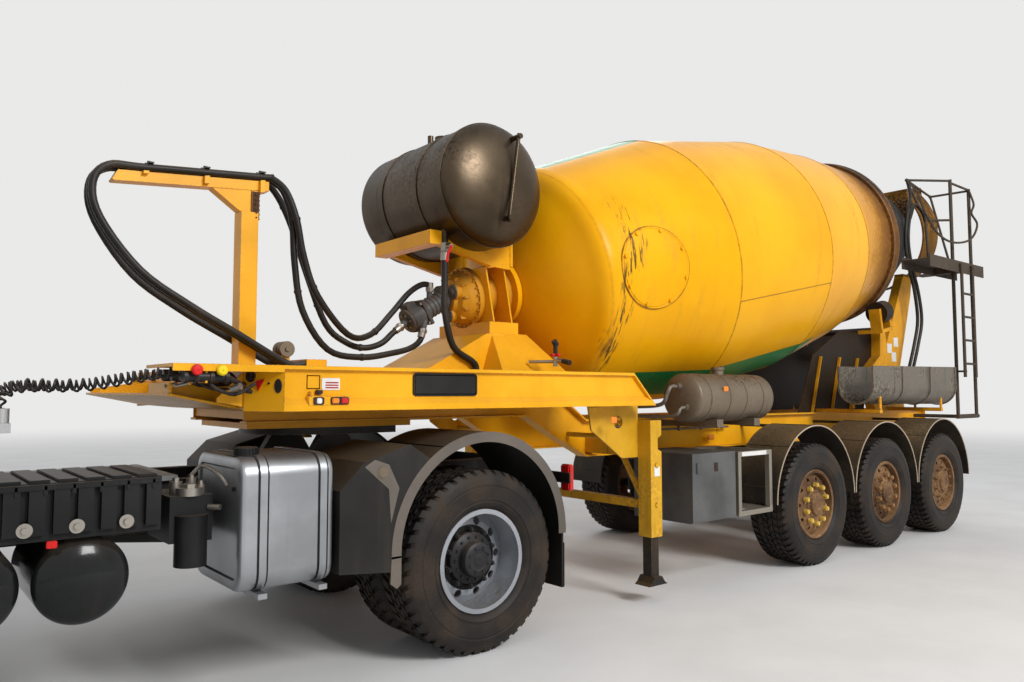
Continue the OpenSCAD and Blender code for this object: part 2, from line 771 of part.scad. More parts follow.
// A point in X and Z, given along the drum's axis from the flange and square to it
function axis_point(t, up) = [
  -flange_x - t * cos(drum_tilt) + up * sin(drum_tilt), flange_z + t * sin(drum_tilt) + up * cos(drum_tilt)];

flange_r = 232;
neck_r = 170;
module gearbox() {
  color("#c9951a") {
    on_drum(0) rotate_extrude($fn = 72)
      polygon([
        [0, -700], [95, -700], [112, -672], [150, -656], [188, -604], [214, -552], [flange_r, -552],
        [flange_r, -500], [neck_r, -500], [neck_r, -308], [205, -308], [205, -205 - run_gap],
        [0, -205 - run_gap]]);
    on_drum(0) for (k = [0:23])
      rotate([0, 0, 15 * k]) translate([218, 0, -566]) cylinder(h = 16, r = 8, $fn = 6);
  }
  color("#4c4e50") {
    bar([-560, 0, 2235], [-335, 0, 2102], 74);
    bar([-345, 0, 2108], [-215, 0, 2031], 90);
    bar([-215, 0, 2031], [-175 - run_gap, 0, 2001 + run_gap], 26);
    bar([-345, 55, 2075], [-320, 55, 1985 + run_gap], 24);
    bar([-410, 0, 2200], [-410, 0, 2262 - run_gap], 23);
  }
}

tank_c = [-560, 0, 2985];
tank_r = 440;
module water_tank() {
  top = [-673, 700, 3392];
  color("#4b4d4e") {
    across(tank_c.x, tank_c.z, -520, 560, tank_r);
    for (s = [[560, 1], [-520, -1]])
      translate([tank_c.x, s[0], tank_c.z]) rotate([-90 * s[1], 0, 0])
        rotate_extrude() intersection() {
          scale([1, 0.36]) circle(r = tank_r);
          square([tank_r, tank_r]);
        }
    translate([tank_c.x + 40, 0, tank_c.z + tank_r - 20]) cylinder(h = 60, r = 60);
    bar([tank_c.x + 150, 0, tank_c.z + tank_r - 60], [tank_c.x + 150, 0, tank_c.z + tank_r + 30], 22);
    for (y = [-220, 250, 552])
      difference() {
        across(tank_c.x, tank_c.z, y - 12, y + 12, tank_r + 7);
        across(tank_c.x, tank_c.z, y - 13, y + 13, tank_r - 1);
      }
    bar([top.x, 735, top.z - 50], [-580, 735, 2700], 14);
    for (p = [[top.x, top.z - 70, 560], [-583, 2725, 600]])
      bar([p.x, p[2], p.y], [p.x, 757, p.y], 19);
    translate([-286, 380, 2490]) cylinder(h = 170, r = 24);
    bar([-286, 380, 2550], [-286, 440, 2550], 12);
  }
}

// Drum: bulged dish, front cone, cylinder and three rear cones, open at the mouth, with its track ring
function shell_line(d) = [
  [0, d - 170], [270 - d / 6, d - 148], [420 - d / 4, d - 115], [620 - d / 3, d - 52],
  [800 - d / 2, 38 + d * 0.9], [945 - d, 130 + d * 0.6], [drum_r - d, 1420], [drum_r - d, 2900],
  [1080 - d, 3860], [935 - d, 4685], [870 - d, 5050], [mouth_r - d, 6020]];

module drum() {
  color(yellow) on_drum(0) {
    rotate_extrude($fn = 96)
      polygon(concat(
        shell_line(0),
        [for (k = [len(shell_line(0)) - 1:-1:0]) shell_line(drum_wall)[k]]));
    translate([0, 0, -205]) cylinder(h = 45, r = 265);
  }
  color("#4a3a2c") on_drum(ring_t - 70)
    rotate_extrude($fn = 96)
      polygon([[860, 0], [ring_r, 0], [ring_r, 140], [860, 140]]);
}

roller_a = 38;
module roller_at() {
  on_drum(ring_t)
    rotate([0, 0, -roller_a]) translate([-(ring_r + roller_r + run_gap), 0, 0]) rotate([0, 0, roller_a])
      children();
}

module roller() {
  color("#3b3733") roller_at() difference() {
    translate([0, 0, -80]) cylinder(h = 160, r = roller_r);
    translate([0, 0, -81]) cylinder(h = 162, r = 30);
  }
}

// Rear stand: ribbed side plates, leaning columns, cross pieces, roller forks and the chute's post
module rear_stand() {
  color("#8a6a1e") {
    both() {
      slab([
        [-4700, rail_top], [-5002, 1903], [-5590, 2200], [-6300, 2200], [-6300, 1900], [-6080, rail_top]],
        rail_y - 60, rail_y - 45);
      for (x = [-4950, -5350, -5750])
        slab([[x, rail_top], [x + 14, rail_top], [x - 186, 1900], [x - 200, 1900]], rail_y - 46, rail_y - 15);
      slab([
        [-6150, rail_top], [-5960, 1715], [-6300, 1937], [-6315, 2210], [-6440, 2215], [-6470, 2083],
        [-6950, 2930], [-7180, 2930], [-7130, 2688], [-6790, 1794], [-6880, rail_top]],
        rail_y - 46, rail_y + 60);
    }
    block([-6700, -rail_y + 40, 1900], [-6600, rail_y - 40, 2000]);
    block([chute_x - 70, -web_in, rail_low + 60], [chute_x + 70, web_in, rail_low + 160]);
    difference() {
      translate([chute_x, 0, rail_low + 159]) cylinder(h = chute_z - rail_low - 259, r = 75);
      translate([chute_x, 0, chute_z - 500]) cylinder(h = 500, r = 50 + run_gap);
    }
  }
  color("#8a6a1e") on_drum(ring_t)
    translate([-(ring_r + roller_r) * cos(roller_a) - roller_r - 100, -740, -130]) cube([42, 1480, 260]);
  color("#8a6a1e") both() roller_at() {
    translate([0, 0, -130]) cylinder(h = 260, r = 29.7);
    for (z = [-130, 86])
      translate([-roller_r - 60, -62, z]) cube([roller_r + 110, 124, 44]);
  }
}

platform_z = 3040;
platform_in = 780;
module platform() {
  front_post = -7300;
  rear_post = -7850;
  ladder = [-7240, -7560];
  corner_a = [-6860, 680, 4085];
  corner_b = [-7800, 560, 4050];
  elbow = [-7080, 790, 3600];
  color("#4b4137") {
    plan([
      [-rear_end, 360], [-rear_end, 1100], [-6430, 1100], [-6430, platform_in], [-7720, platform_in],
      [-7720, 360]], platform_z - 12, platform_z);
    for (y = [[platform_in, platform_in + 10], [1090, 1100]])
      block([-rear_end, y[0], platform_z - 100], [-6430, y[1], platform_z + 40]);
    block([front_post - 30, platform_in + 1, platform_z - 90], [front_post + 30, 1091, platform_z - 11]);
    bar([front_post, 1000, 1220], [front_post, 1000, 4100], 20);
    bar([rear_post, 1000, 1220], [rear_post, 1000, 4072], 20);
    bar([-7380, web_out, 1220], [-7380, 1000, 1220], 22);
    bar([front_post + 30, 1000, 1220], [rear_post - 30, 1000, 1220], 26);
    for (x = ladder)
      bar([x, 1118, 1690], [x, 1118, platform_z + 10], 18);
    for (k = [0:3])
      bar([ladder[0], 1118, 1850 + 280 * k], [ladder[1], 1118, 1850 + 280 * k], 14);
    bar([-7290, 1118, 1760], [-7290, 1000, 1760], 12);
    bar([-7290, 1000, 1760], [front_post, 1000, 1760], 10);
    for (k = [[corner_a, [front_post, 1000, 4085]], [corner_a, corner_b], [corner_a, elbow],
              [[rear_post, 1000, 4060], [front_post, 1000, 4060]], [[rear_post, 1000, 4050], corner_b],
              [elbow, [front_post, 1000, 3600]], [elbow, [-7150, 785, platform_z + 35]],
              [corner_b, [-7800, 785, platform_z + 35]]])
      bar(k[0], k[1], 14);
    for (p = [corner_a, corner_b, elbow])
      translate(p) sphere(r = 22);
  }
}

module collector() {
  color("#6a5a3a") on_drum(6050) {
    difference() {
      cylinder(h = 420, r = 720);
      translate([0, 0, -1]) cylinder(h = 422, r = 700);
      translate([470, -800, -2]) cube([900, 1600, 500]);
    }
    difference() {
      translate([430, -575, 0]) cube([105, 1150, 420]);
      translate([429, -560, 14]) cube([107, 1120, 392]);
    }
    slab([[518, 410], [532, 410], [170, 80], [156, 80]], -562, 562);
  }
  color("#8a6a1e") both() {
    block([-7180, rail_y - 46, 2930], [-6950, rail_y + 60, 2960]);
    slab([[-7170, 2950], [-7100, 2950], axis_point(6060, -480), axis_point(6130, -480)], rail_y + 15,
      rail_y + 30);
  }
}

chute_x = -7480;
chute_z = 2000;
hinge_y = -120;
module chute_arm() {
  color("#8a6a1e") translate([chute_x, 0, chute_z]) {
    translate([0, 0, -480]) cylinder(h = 480, r = 50);
    translate([0, 0, -99]) cylinder(h = 99, r = 75);
    for (x = [-60, 45]) difference() {
      slab([[x, -60], [x + 15, -60], [x + 15, 36], [x, 36]], hinge_y - 40, 50);
      bar([x - 1, hinge_y, 20], [x + 16, hinge_y, 20], 12 + run_gap);
    }
  }
}

module chute() {
  color("#6b6a66") translate([chute_x, 0, chute_z]) {
    difference() {
      bar([0, 180, 340], [0, -960, 260], 230);
      bar([0, 194, 341], [0, -974, 259], 218);
      block([-400, -1200, 300], [400, 400, 700]);
    }
    bar([-59, hinge_y, 20], [59, hinge_y, 20], 12);
    slab([[-30, 10], [30, 10], [30, 92], [-30, 92]], hinge_y - 30, hinge_y + 30);
  }
}

module trailer_mudguards() {
  color("#2e2a27") both() for (n = [0:2]) {
    x = -axle_1 - n * axle_gap;
    difference() {
      translate([x, 1225, 580]) rotate([90, 0, 0]) cylinder(h = 420, r = 645, $fn = 180);
      translate([x, 1226, 580]) rotate([90, 0, 0]) cylinder(h = 422, r = 633, $fn = 180);
      block([x - 700, 790, -100], [x + 700, 1240, 580]);
    }
    block([x - 20, web_out, 1190], [x + 20, 900, 1216]);
  }
}

module landing_legs() {
  color(yellow) {
    both() {
      difference() {
        block([-1690, 1020, 470], [-1570, 1140, 1310]);
        slab([[-1691, 1080], [-1691, 1200], [-1650, 1180], [-1650, 1100]], 1019, 1141);
      }
      block([-1670, 1040, 180], [-1590, 1120, 471]);
      slab([[-1730, 130], [-1530, 130], [-1560, 150], [-1590, 190], [-1670, 190], [-1700, 150]], 1010, 1150);
      difference() {
        slab([[-1060, 1420], [-1090, 1250], [-1400, 1040], [-1571, 1040], [-1571, 1420]], 1006, 1020 + eps);
        across(-1360, 1300, 1000, 1025, 45);
      }
      block([-1180, half_w - 80, 1410], [-1060, 1006, 1420]);
      bar([-1630, 1030, 700], [-1630, 800, 1060], 22);
      block([-1670, web_out, 1040], [-1590, 1021, 1170]);
      across(-1400, 1190, web_out, 1010, 18);
    }
    block([-1660, -1021, 665], [-1600, 1021, 725]);
  }
}

module trailer_axles() {
  color("#2f2d2b") for (n = [0:2]) {
    x = -axle_1 - n * axle_gap;
    across(x, tyre_r, -790, 790, 64);
    across(x, tyre_r, -1150, 1150, hub_r - run_gap);
    both() {
      slab([
        [x + 480, 640], [x + 480, 560], [x, tyre_r - 90], [x - 420, tyre_r - 60], [x - 420, tyre_r],
        [x, tyre_r + 70]], 400, 500);
      slab([[x + 540, 1012], [x + 540, 540], [x + 420, 540], [x + 360, 1012]], 510, 522);
      slab([[x + 540, 1012], [x + 540, 540], [x + 420, 540], [x + 360, 1012]], 378, 390);
      across(x + 470, 600, 379, 521, 30);
      translate([x - 330, 450, tyre_r - 10]) cylinder(h = 482, r = 115);
      translate([x, 812, 0]) on_axle(0, 0) rotate([180, 0, 0]) cylinder(h = 180, r = 200);
    }
  }
}

box_x0 = -2510;
box_x1 = -1970;
module tool_box() {
  color("#8e9294") difference() {
    block([box_x0, 620, 530], [box_x1, half_w - 22, 1050]);
    block([box_x0 + 8, 628, 538], [box_x1 - 8, half_w, 1042]);
  }
  color("#8e9294") {
    for (x = [box_x0 + 60, box_x1 - 110])
      block([x, rail_y - 60, rail_low - 40], [x + 50, 621, rail_low]);
    difference() {
      block([-3020, 640, 530], [box_x0 - 40, half_w, 1040]);
      block([-2980, 680, 490], [box_x0 - 80, half_w - 40, 1080]);
      block([-2980, 600, 570], [box_x0 - 80, half_w + 40, 1000]);
      block([-3060, 680, 570], [box_x0, half_w - 40, 1000]);
    }
    block([box_x0 - 41, 700, 560], [box_x0 + 1, 740, 600]);
    block([box_x0 - 41, 700, 960], [box_x0 + 1, 740, 1000]);
  }
}

module tool_box_door() {
  color("#9ea2a4") {
    block([box_x0, half_w - 22 + run_gap, 536], [box_x1, half_w, 1050]);
    block([box_x1 - 110, half_w - 1, 900], [box_x1 - 50, half_w + 8, 980]);
  }
}

module side_tank() {
  color("#77787a") {
    bar([-3060, 1010, 1470], [-2110, 1010, 1470], 190);
    for (s = [[-2110, 1], [-3060, -1]])
      translate([s[0], 1010, 1470]) scale([0.25, 1, 1]) sphere(r = 190);
    translate([-2560, 1010, 1640]) cylinder(h = 70, r = 45);
  }
  color(yellow) for (x = [-2850, -2350]) {
    block([x - 40, web_out, 1240], [x + 40, 1180, 1285]);
    block([x - 40, 840, 1284], [x + 40, 1180, 1300]);
  }
}

// A tube swept along points, drawn as one closed mesh
function away(v) = abs(v.z) < 0.9 * norm(v) ? [0, 0, 1] : [1, 0, 0];
function unit(v) = v / norm(v);
function heading(p, i) = unit(p[min(i + 1, len(p) - 1)] - p[max(i - 1, 0)]);
module tube(p, r, sides = 8) {
  rings = [for (i = [0:len(p) - 1])
    let (t = heading(p, i), u = unit(cross(t, away(t))), v = cross(t, u))
    [for (k = [0:sides - 1]) p[i] + r * (cos(360 * k / sides) * u + sin(360 * k / sides) * v)]];
  n = len(p);
  polyhedron(
    points = [for (ring = rings) each ring],
    faces = concat(
      [[for (k = [0:sides - 1]) k]],
      [for (i = [0:n - 2]) for (k = [0:sides - 1])
        [i * sides + k, (i + 1) * sides + k, (i + 1) * sides + (k + 1) % sides, i * sides + (k + 1) % sides]],
      [[for (k = [sides - 1:-1:0]) (n - 1) * sides + k]]));
}

mast_hose_routes = [
  [[640, 90, 1700], [760, 90, 1700], [1067, 90, 1865], [1361, 85, 2026], [1640, 60, 2215], [1850, 20, 2500],
   [1890, 0, 2700], [1810, 0, 2815], [1600, 0, 2836], [900, 0, 2900], [850, 5, 2900], [770, 50, 2830],
   [720, 85, 2640], [700, 90, 2360], [640, 90, 2050], [457, 90, 1800], [200, 90, 1755], [-60, 85, 1795],
   [-210, 65, 1835], [-295, 55, 1895], [-320, 55, 1985]],
  [[640, -90, 1700], [760, -90, 1700], [1067, -90, 1865], [1361, -90, 2026], [1640, -75, 2215],
   [1850, -55, 2500], [1890, -50, 2700], [1810, -50, 2815], [1600, -50, 2836], [900, -50, 2900],
   [850, -52, 2900], [750, -75, 2815], [650, -90, 2640], [540, -90, 2340], [390, -85, 1987],
   [245, -60, 1863], [120, -30, 1828], [0, 0, 1862], [-95, 0, 1941], [-175, 0, 2001]],
  [[640, 140, 1700], [760, 140, 1700], [1067, 140, 1865], [1361, 135, 2026], [1640, 110, 2215],
   [1850, 70, 2500], [1890, 50, 2700], [1810, 50, 2815], [1600, 50, 2836], [900, 50, 2900], [850, 55, 2900],
   [770, 98, 2820], [710, 132, 2640], [660, 140, 2400], [560, 140, 2150], [314, 100, 1906], [100, 30, 1920],
   [-80, 0, 2080], [-220, 0, 2235], [-335, 0, 2312], [-410, 0, 2312], [-410, 0, 2262]]];
tank_hose_route = [
  [-286, 380, 2490], [-286, 380, 2290], [-290, 380, 2083], [-360, 380, 1840], [-520, 380, 1740],
  [-560, 380, 1700], [-560, 380, 1648]];
module mast_hoses() {
  color("#161616") {
    for (route = mast_hose_routes)
      tube(route, 22);
    tube(tank_hose_route, 24);
  }
}

coil_end_x = 2400;
coil_end_z = 1450;
coil_y = [820, 960, 1100];
coil_route = [
  [1690, 0, 1600], [1800, 0, 1600], [1940, 0, 1575], [2080, 0, 1550], [2220, 0, 1545], [2320, 0, 1545],
  [2380, 0, 1525], [2400, 0, 1490], [2400, 0, 1450]];
module air_coils() {
  color("#161616") for (y = coil_y)
    translate([0, y, 0]) tube(coil_route, 32);
}

place() tractor_frame();
place() fifth_wheel();
place() with_cab() engine();
place() drive_axle();
place() front_axle();
place() knuckle();  // knuckle_l
place() mirror([0, 1, 0]) knuckle();  // knuckle_r
place() front_rim();  // front_rim_l
place() mirror([0, 1, 0]) front_rim();  // front_rim_r
place() front_tyre();  // front_tyre_l
place() mirror([0, 1, 0]) front_tyre();  // front_tyre_r
place() drive_rims();  // drive_rims_l
place() mirror([0, 1, 0]) drive_rims();  // drive_rims_r
place() drive_tyres();  // drive_tyres_l
place() mirror([0, 1, 0]) drive_tyres();  // drive_tyres_r
place() with_cab() cab_shell();
place() with_cab() bumper();
place() with_cab() headlamps();
place() with_cab() door();  // door_l
place() mirror([0, 1, 0]) with_cab() door();  // door_r
place() with_cab() door_glass();  // door_glass_l
place() mirror([0, 1, 0]) with_cab() door_glass();  // door_glass_r
place() with_cab() cab_glass();
place() with_cab() cab_seats();
place() with_cab() dashboard();
place() with_cab() mirrors();
place() with_cab() cab_steps();
place() fuel_tank();
place() battery_box();
place() air_tanks();
place() drive_mudguards();
place() catwalk();
place() trailer_frame();
place() neck_beams();
place() hose_mast();
place() gearbox_stand();
place() gearbox();
place() water_tank();
place() drum();
place() roller();  // roller_l
place() mirror([0, 1, 0]) roller();  // roller_r
place() rear_stand();
place() platform();
place() collector();
place() chute_arm();
place() chute();
place() trailer_mudguards();
place() landing_legs();
place() trailer_axles();
place() tool_box();
place() tool_box_door();
place() side_tank();
place() trailer_wheel(1);  // trailer_wheel_1l
place() mirror([0, 1, 0]) trailer_wheel(1);  // trailer_wheel_1r
place() trailer_wheel(2);  // trailer_wheel_2l
place() mirror([0, 1, 0]) trailer_wheel(2);  // trailer_wheel_2r
place() trailer_wheel(3);  // trailer_wheel_3l
place() mirror([0, 1, 0]) trailer_wheel(3);  // trailer_wheel_3r
place() mast_hoses();
place() air_coils();
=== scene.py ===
"""Looks of an articulated concrete mixer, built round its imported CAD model. Metres, +X forward, +Z up."""
import json
import math

import bmesh
import bpy
from mathutils import Matrix, Vector


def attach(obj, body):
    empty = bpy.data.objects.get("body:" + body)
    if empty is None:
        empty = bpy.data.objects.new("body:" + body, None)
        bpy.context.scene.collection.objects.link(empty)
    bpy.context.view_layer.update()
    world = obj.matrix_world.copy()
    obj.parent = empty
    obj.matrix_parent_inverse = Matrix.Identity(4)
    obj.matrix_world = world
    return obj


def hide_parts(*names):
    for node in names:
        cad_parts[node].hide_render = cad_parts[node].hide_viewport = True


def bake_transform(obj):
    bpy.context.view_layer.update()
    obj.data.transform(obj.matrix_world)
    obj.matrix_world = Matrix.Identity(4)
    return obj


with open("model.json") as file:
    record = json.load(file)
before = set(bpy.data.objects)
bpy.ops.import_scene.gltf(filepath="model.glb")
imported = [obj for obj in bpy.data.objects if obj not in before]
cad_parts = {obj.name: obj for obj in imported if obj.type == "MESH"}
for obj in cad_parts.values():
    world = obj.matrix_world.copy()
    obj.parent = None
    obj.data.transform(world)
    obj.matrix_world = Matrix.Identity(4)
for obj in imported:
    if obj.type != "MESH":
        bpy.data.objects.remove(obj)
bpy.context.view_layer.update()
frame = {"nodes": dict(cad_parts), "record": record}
scene = bpy.context.scene

# The CAD's modules count from the drive axle, which stands here in the row frame
DRIVE_X = 1.44
SIDES = ((1, "l"), (-1, "r"))
FINISH = {}

# Camera, fitted to the photo
SENSOR_MM = 36.0
CAMERA_AT = Vector((4.272, 4.934, 1.52))
CAMERA_YAW = math.radians(39.324)
CAMERA_PITCH = math.radians(3.667)
FOCAL_MM = 27.67


def at(x, y, z):
    """A point given from the drive axle, on the ground, in the row frame."""
    return Vector((x + DRIVE_X, y, z))


FACING = {"up": (0, "Z"), "left": (-90, "X"), "right": (90, "X"), "forward": (90, "Y"), "back": (-90, "Y")}
OUTWARD = {1: "left", -1: "right"}


def facing(way, x, y, z):
    """A matrix at a point from the drive axle, its Z axis pointing one way."""
    angle, axis = FACING[way]
    return Matrix.Translation(at(x, y, z)) @ Matrix.Rotation(math.radians(angle), 4, axis)


def shifted(place, x, y, z):
    return place @ Matrix.Translation((x, y, z))


def polar(r, degrees, x=0.0, y=0.0):
    """A pair at a distance and an angle from another."""
    a = math.radians(degrees)
    return x + r * math.cos(a), y + r * math.sin(a)


def add_camera():
    data = bpy.data.cameras.new("camera")
    data.sensor_width = SENSOR_MM
    data.lens = FOCAL_MM
    data.clip_end = 500
    camera = bpy.data.objects.new("camera", data)
    scene.collection.objects.link(camera)
    level = math.cos(CAMERA_PITCH)
    look = Vector((-math.sin(CAMERA_YAW) * level, -math.cos(CAMERA_YAW) * level, math.sin(CAMERA_PITCH)))
    camera.location = CAMERA_AT
    camera.rotation_euler = look.to_track_quat("-Z", "Y").to_euler()
    scene.camera = camera


def circle(r, sides):
    return [(r * math.cos(2 * math.pi * k / sides), r * math.sin(2 * math.pi * k / sides)) for k in range(sides)]


def around(count, shift=0.0):
    """Angles of things spaced evenly round a circle."""
    return [2 * math.pi * (k + shift) / count for k in range(count)]


def ring_faces(n, count, wrap=False):
    """Faces between rings of n points each, and from the last ring to the first if they wrap."""
    return [(i * n + k, i * n + (k + 1) % n, (i + 1) % count * n + (k + 1) % n, (i + 1) % count * n + k)
            for i in range(count if wrap else count - 1) for k in range(n)]


def caps(n, count):
    return [tuple(reversed(range(n))), tuple(range((count - 1) * n, count * n))]


class Form:
    """Vertices and faces of one piece."""

    def __init__(self):
        self.points = []
        self.faces = []

    def add(self, points, faces):
        start = len(self.points)
        self.points += [tuple(p) for p in points]
        self.faces += [tuple(start + k for k in face) for face in faces]

    def put(self, *shapes):
        """Adds shapes, each a function of the form."""
        for shape in shapes:
            shape(self)
        return self

    def box(self, low, high, turn=None):
        corners = [Vector((x, y, z)) for x in (low[0], high[0]) for y in (low[1], high[1]) for z in (low[2], high[2])]
        if turn:
            corners = [turn @ p for p in corners]
        self.add(corners, [(0, 1, 3, 2), (4, 6, 7, 5), (0, 4, 5, 1), (2, 3, 7, 6), (0, 2, 6, 4), (1, 5, 7, 3)])

    def prism(self, outline, shift):
        """A closed flat outline moved by a vector, with both ends capped."""
        n = len(outline)
        shift = Vector(shift)
        points = [Vector(p) for p in outline] + [Vector(p) + shift for p in outline]
        self.add(points, caps(n, 2) + ring_faces(n, 2))

    def revolve(self, profile, place, segments, closed=True):
        """Turns (radius, height) points about the Z axis of a placing matrix."""
        points = [place @ Vector((x, y, h)) for r, h in profile for x, y in circle(r, segments)]
        self.add(points, ring_faces(segments, len(profile), closed))

    def disk(self, place, radius, low, high, sides):
        """A short cylinder along a placing matrix's Z axis."""
        self.prism([place @ Vector((x, y, low)) for x, y in circle(radius, sides)],
                   place.to_3x3() @ Vector((0, 0, high - low)))

    def bar(self, a, b, radius, sides):
        a = Vector(a)
        b = Vector(b)
        turn = (b - a).to_track_quat("Z", "Y").to_matrix().to_4x4()
        self.disk(Matrix.Translation(a) @ turn, radius, 0, (b - a).length, sides)

    def sweep(self, path, radius, sides):
        """A round tube along points, capped at both ends."""
        path = [Vector(p) for p in path]
        n = len(path)
        heading = [(path[min(i + 1, n - 1)] - path[max(i - 1, 0)]).normalized() for i in range(n)]
        up = Vector((0, 0, 1)) if abs(heading[0].z) < 0.9 else Vector((1, 0, 0))
        across = heading[0].cross(up).normalized()
        points = []
        for i in range(n):
            across = (across - heading[i] * across.dot(heading[i])).normalized()
            other = heading[i].cross(across)
            points += [path[i] + radius * (c * across + s * other) for c, s in circle(1.0, sides)]
        self.add(points, ring_faces(sides, n) + caps(sides, n))

    def loft(self, rings, closed=False):
        """Rings of equally many points, joined in turn and capped unless the last meets the first."""
        size = (len(rings[0]), len(rings))
        self.add([p for ring in rings for p in ring], ring_faces(*size, closed) + ([] if closed else caps(*size)))

    def arc_strip(self, centre, radii, sides, start, stop, steps):
        """A curved bar in the XZ plane: from one radius to another, one side to the other, degrees from +X."""
        rings = []
        for i in range(steps + 1):
            a = math.radians(start + (stop - start) * i / steps)
            rings.append([Vector((centre[0] + r * math.cos(a), y, centre[1] + r * math.sin(a)))
                          for r, y in ((radii[0], sides[0]), (radii[1], sides[0]), (radii[1], sides[1]),
                                       (radii[0], sides[1]))])
        self.loft(rings)

    def make(self, name, material, sharp=32, bevel=0.0):
        mesh = bpy.data.meshes.new(name)
        mesh.from_pydata(self.points, [], self.faces)
        mesh.materials.append(material)
        mesh.polygons.foreach_set("use_smooth", [True] * len(self.faces))
        work = bmesh.new()
        work.from_mesh(mesh)
        bmesh.ops.recalc_face_normals(work, faces=work.faces)
        if bevel:
            edges = [e for e in work.edges if len(e.link_faces) == 2 and e.calc_face_angle() > 0.6]
            bmesh.ops.bevel(work, geom=edges, offset=bevel, segments=2, affect="EDGES", clamp_overlap=True)
        work.to_mesh(mesh)
        work.free()
        mesh.set_sharp_from_angle(angle=math.radians(sharp))
        piece = bpy.data.objects.new(name, mesh)
        scene.collection.objects.link(piece)
        return piece


def smooth_path(points, steps):
    """A Catmull-Rom curve through points, with a number of steps between them."""
    p = [Vector(q) for q in points]
    p = [2 * p[0] - p[1]] + p + [2 * p[-1] - p[-2]]
    line = []
    for i in range(1, len(p) - 2):
        for k in range(steps):
            t = k / steps
            line.append(0.5 * (2 * p[i] + (p[i + 1] - p[i - 1]) * t
                               + (2 * p[i - 1] - 5 * p[i] + 4 * p[i + 1] - p[i + 2]) * t * t
                               + (3 * p[i] - p[i - 1] - 3 * p[i + 1] + p[i + 2]) * t ** 3))
    return line + [p[-2]]


def path_length(points):
    return sum((Vector(b) - Vector(a)).length for a, b in zip(points, points[1:]))


# Shapes given from the drive axle, each a function that adds itself to a form

def block(x0, y0, z0, x1, y1, z1):
    return lambda form: form.box(at(x0, y0, z0), at(x1, y1, z1))


def rod(a, b, radius, sides=12):
    return lambda form: form.bar(at(*a), at(*b), radius, sides)


def pipe(radius, sides, steps, *points):
    """A tube along a smooth curve, with a number of steps between its points."""
    return lambda form: form.sweep(smooth_path([at(*p) for p in points], steps), radius, sides)


def disc(place, radius, low, high, sides):
    return lambda form: form.disk(place, radius, low, high, sides)


def turned(place, profile, segments):
    return lambda form: form.revolve(profile, place, segments)


def add(form, name, body, slot, look=None, replaces=None, **edges):
    """Makes the piece of a form or of a list of shapes, riding on a body, in its slot's finish or another."""
    if isinstance(form, list):
        form = Form().put(*form)
    piece = form.make(name, FINISH[look or slot], **edges)
    if replaces:
        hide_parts(replaces)
    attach(piece, body)
    return piece


FLANGE = at(-1.25, 0, 2.348)
TILT = math.radians(11.1)
DRUM_AXIS = Vector((-math.cos(TILT), 0, math.sin(TILT)))
DRUM_UP = Vector((math.sin(TILT), 0, math.cos(TILT)))
DRUM = Matrix((
    (DRUM_UP.x, 0, DRUM_AXIS.x, FLANGE.x), (0, 1, 0, FLANGE.y), (DRUM_UP.z, 0, DRUM_AXIS.z, FLANGE.z), (0, 0, 0, 1)))


# Materials

WORN_EDGE_R = 0.006


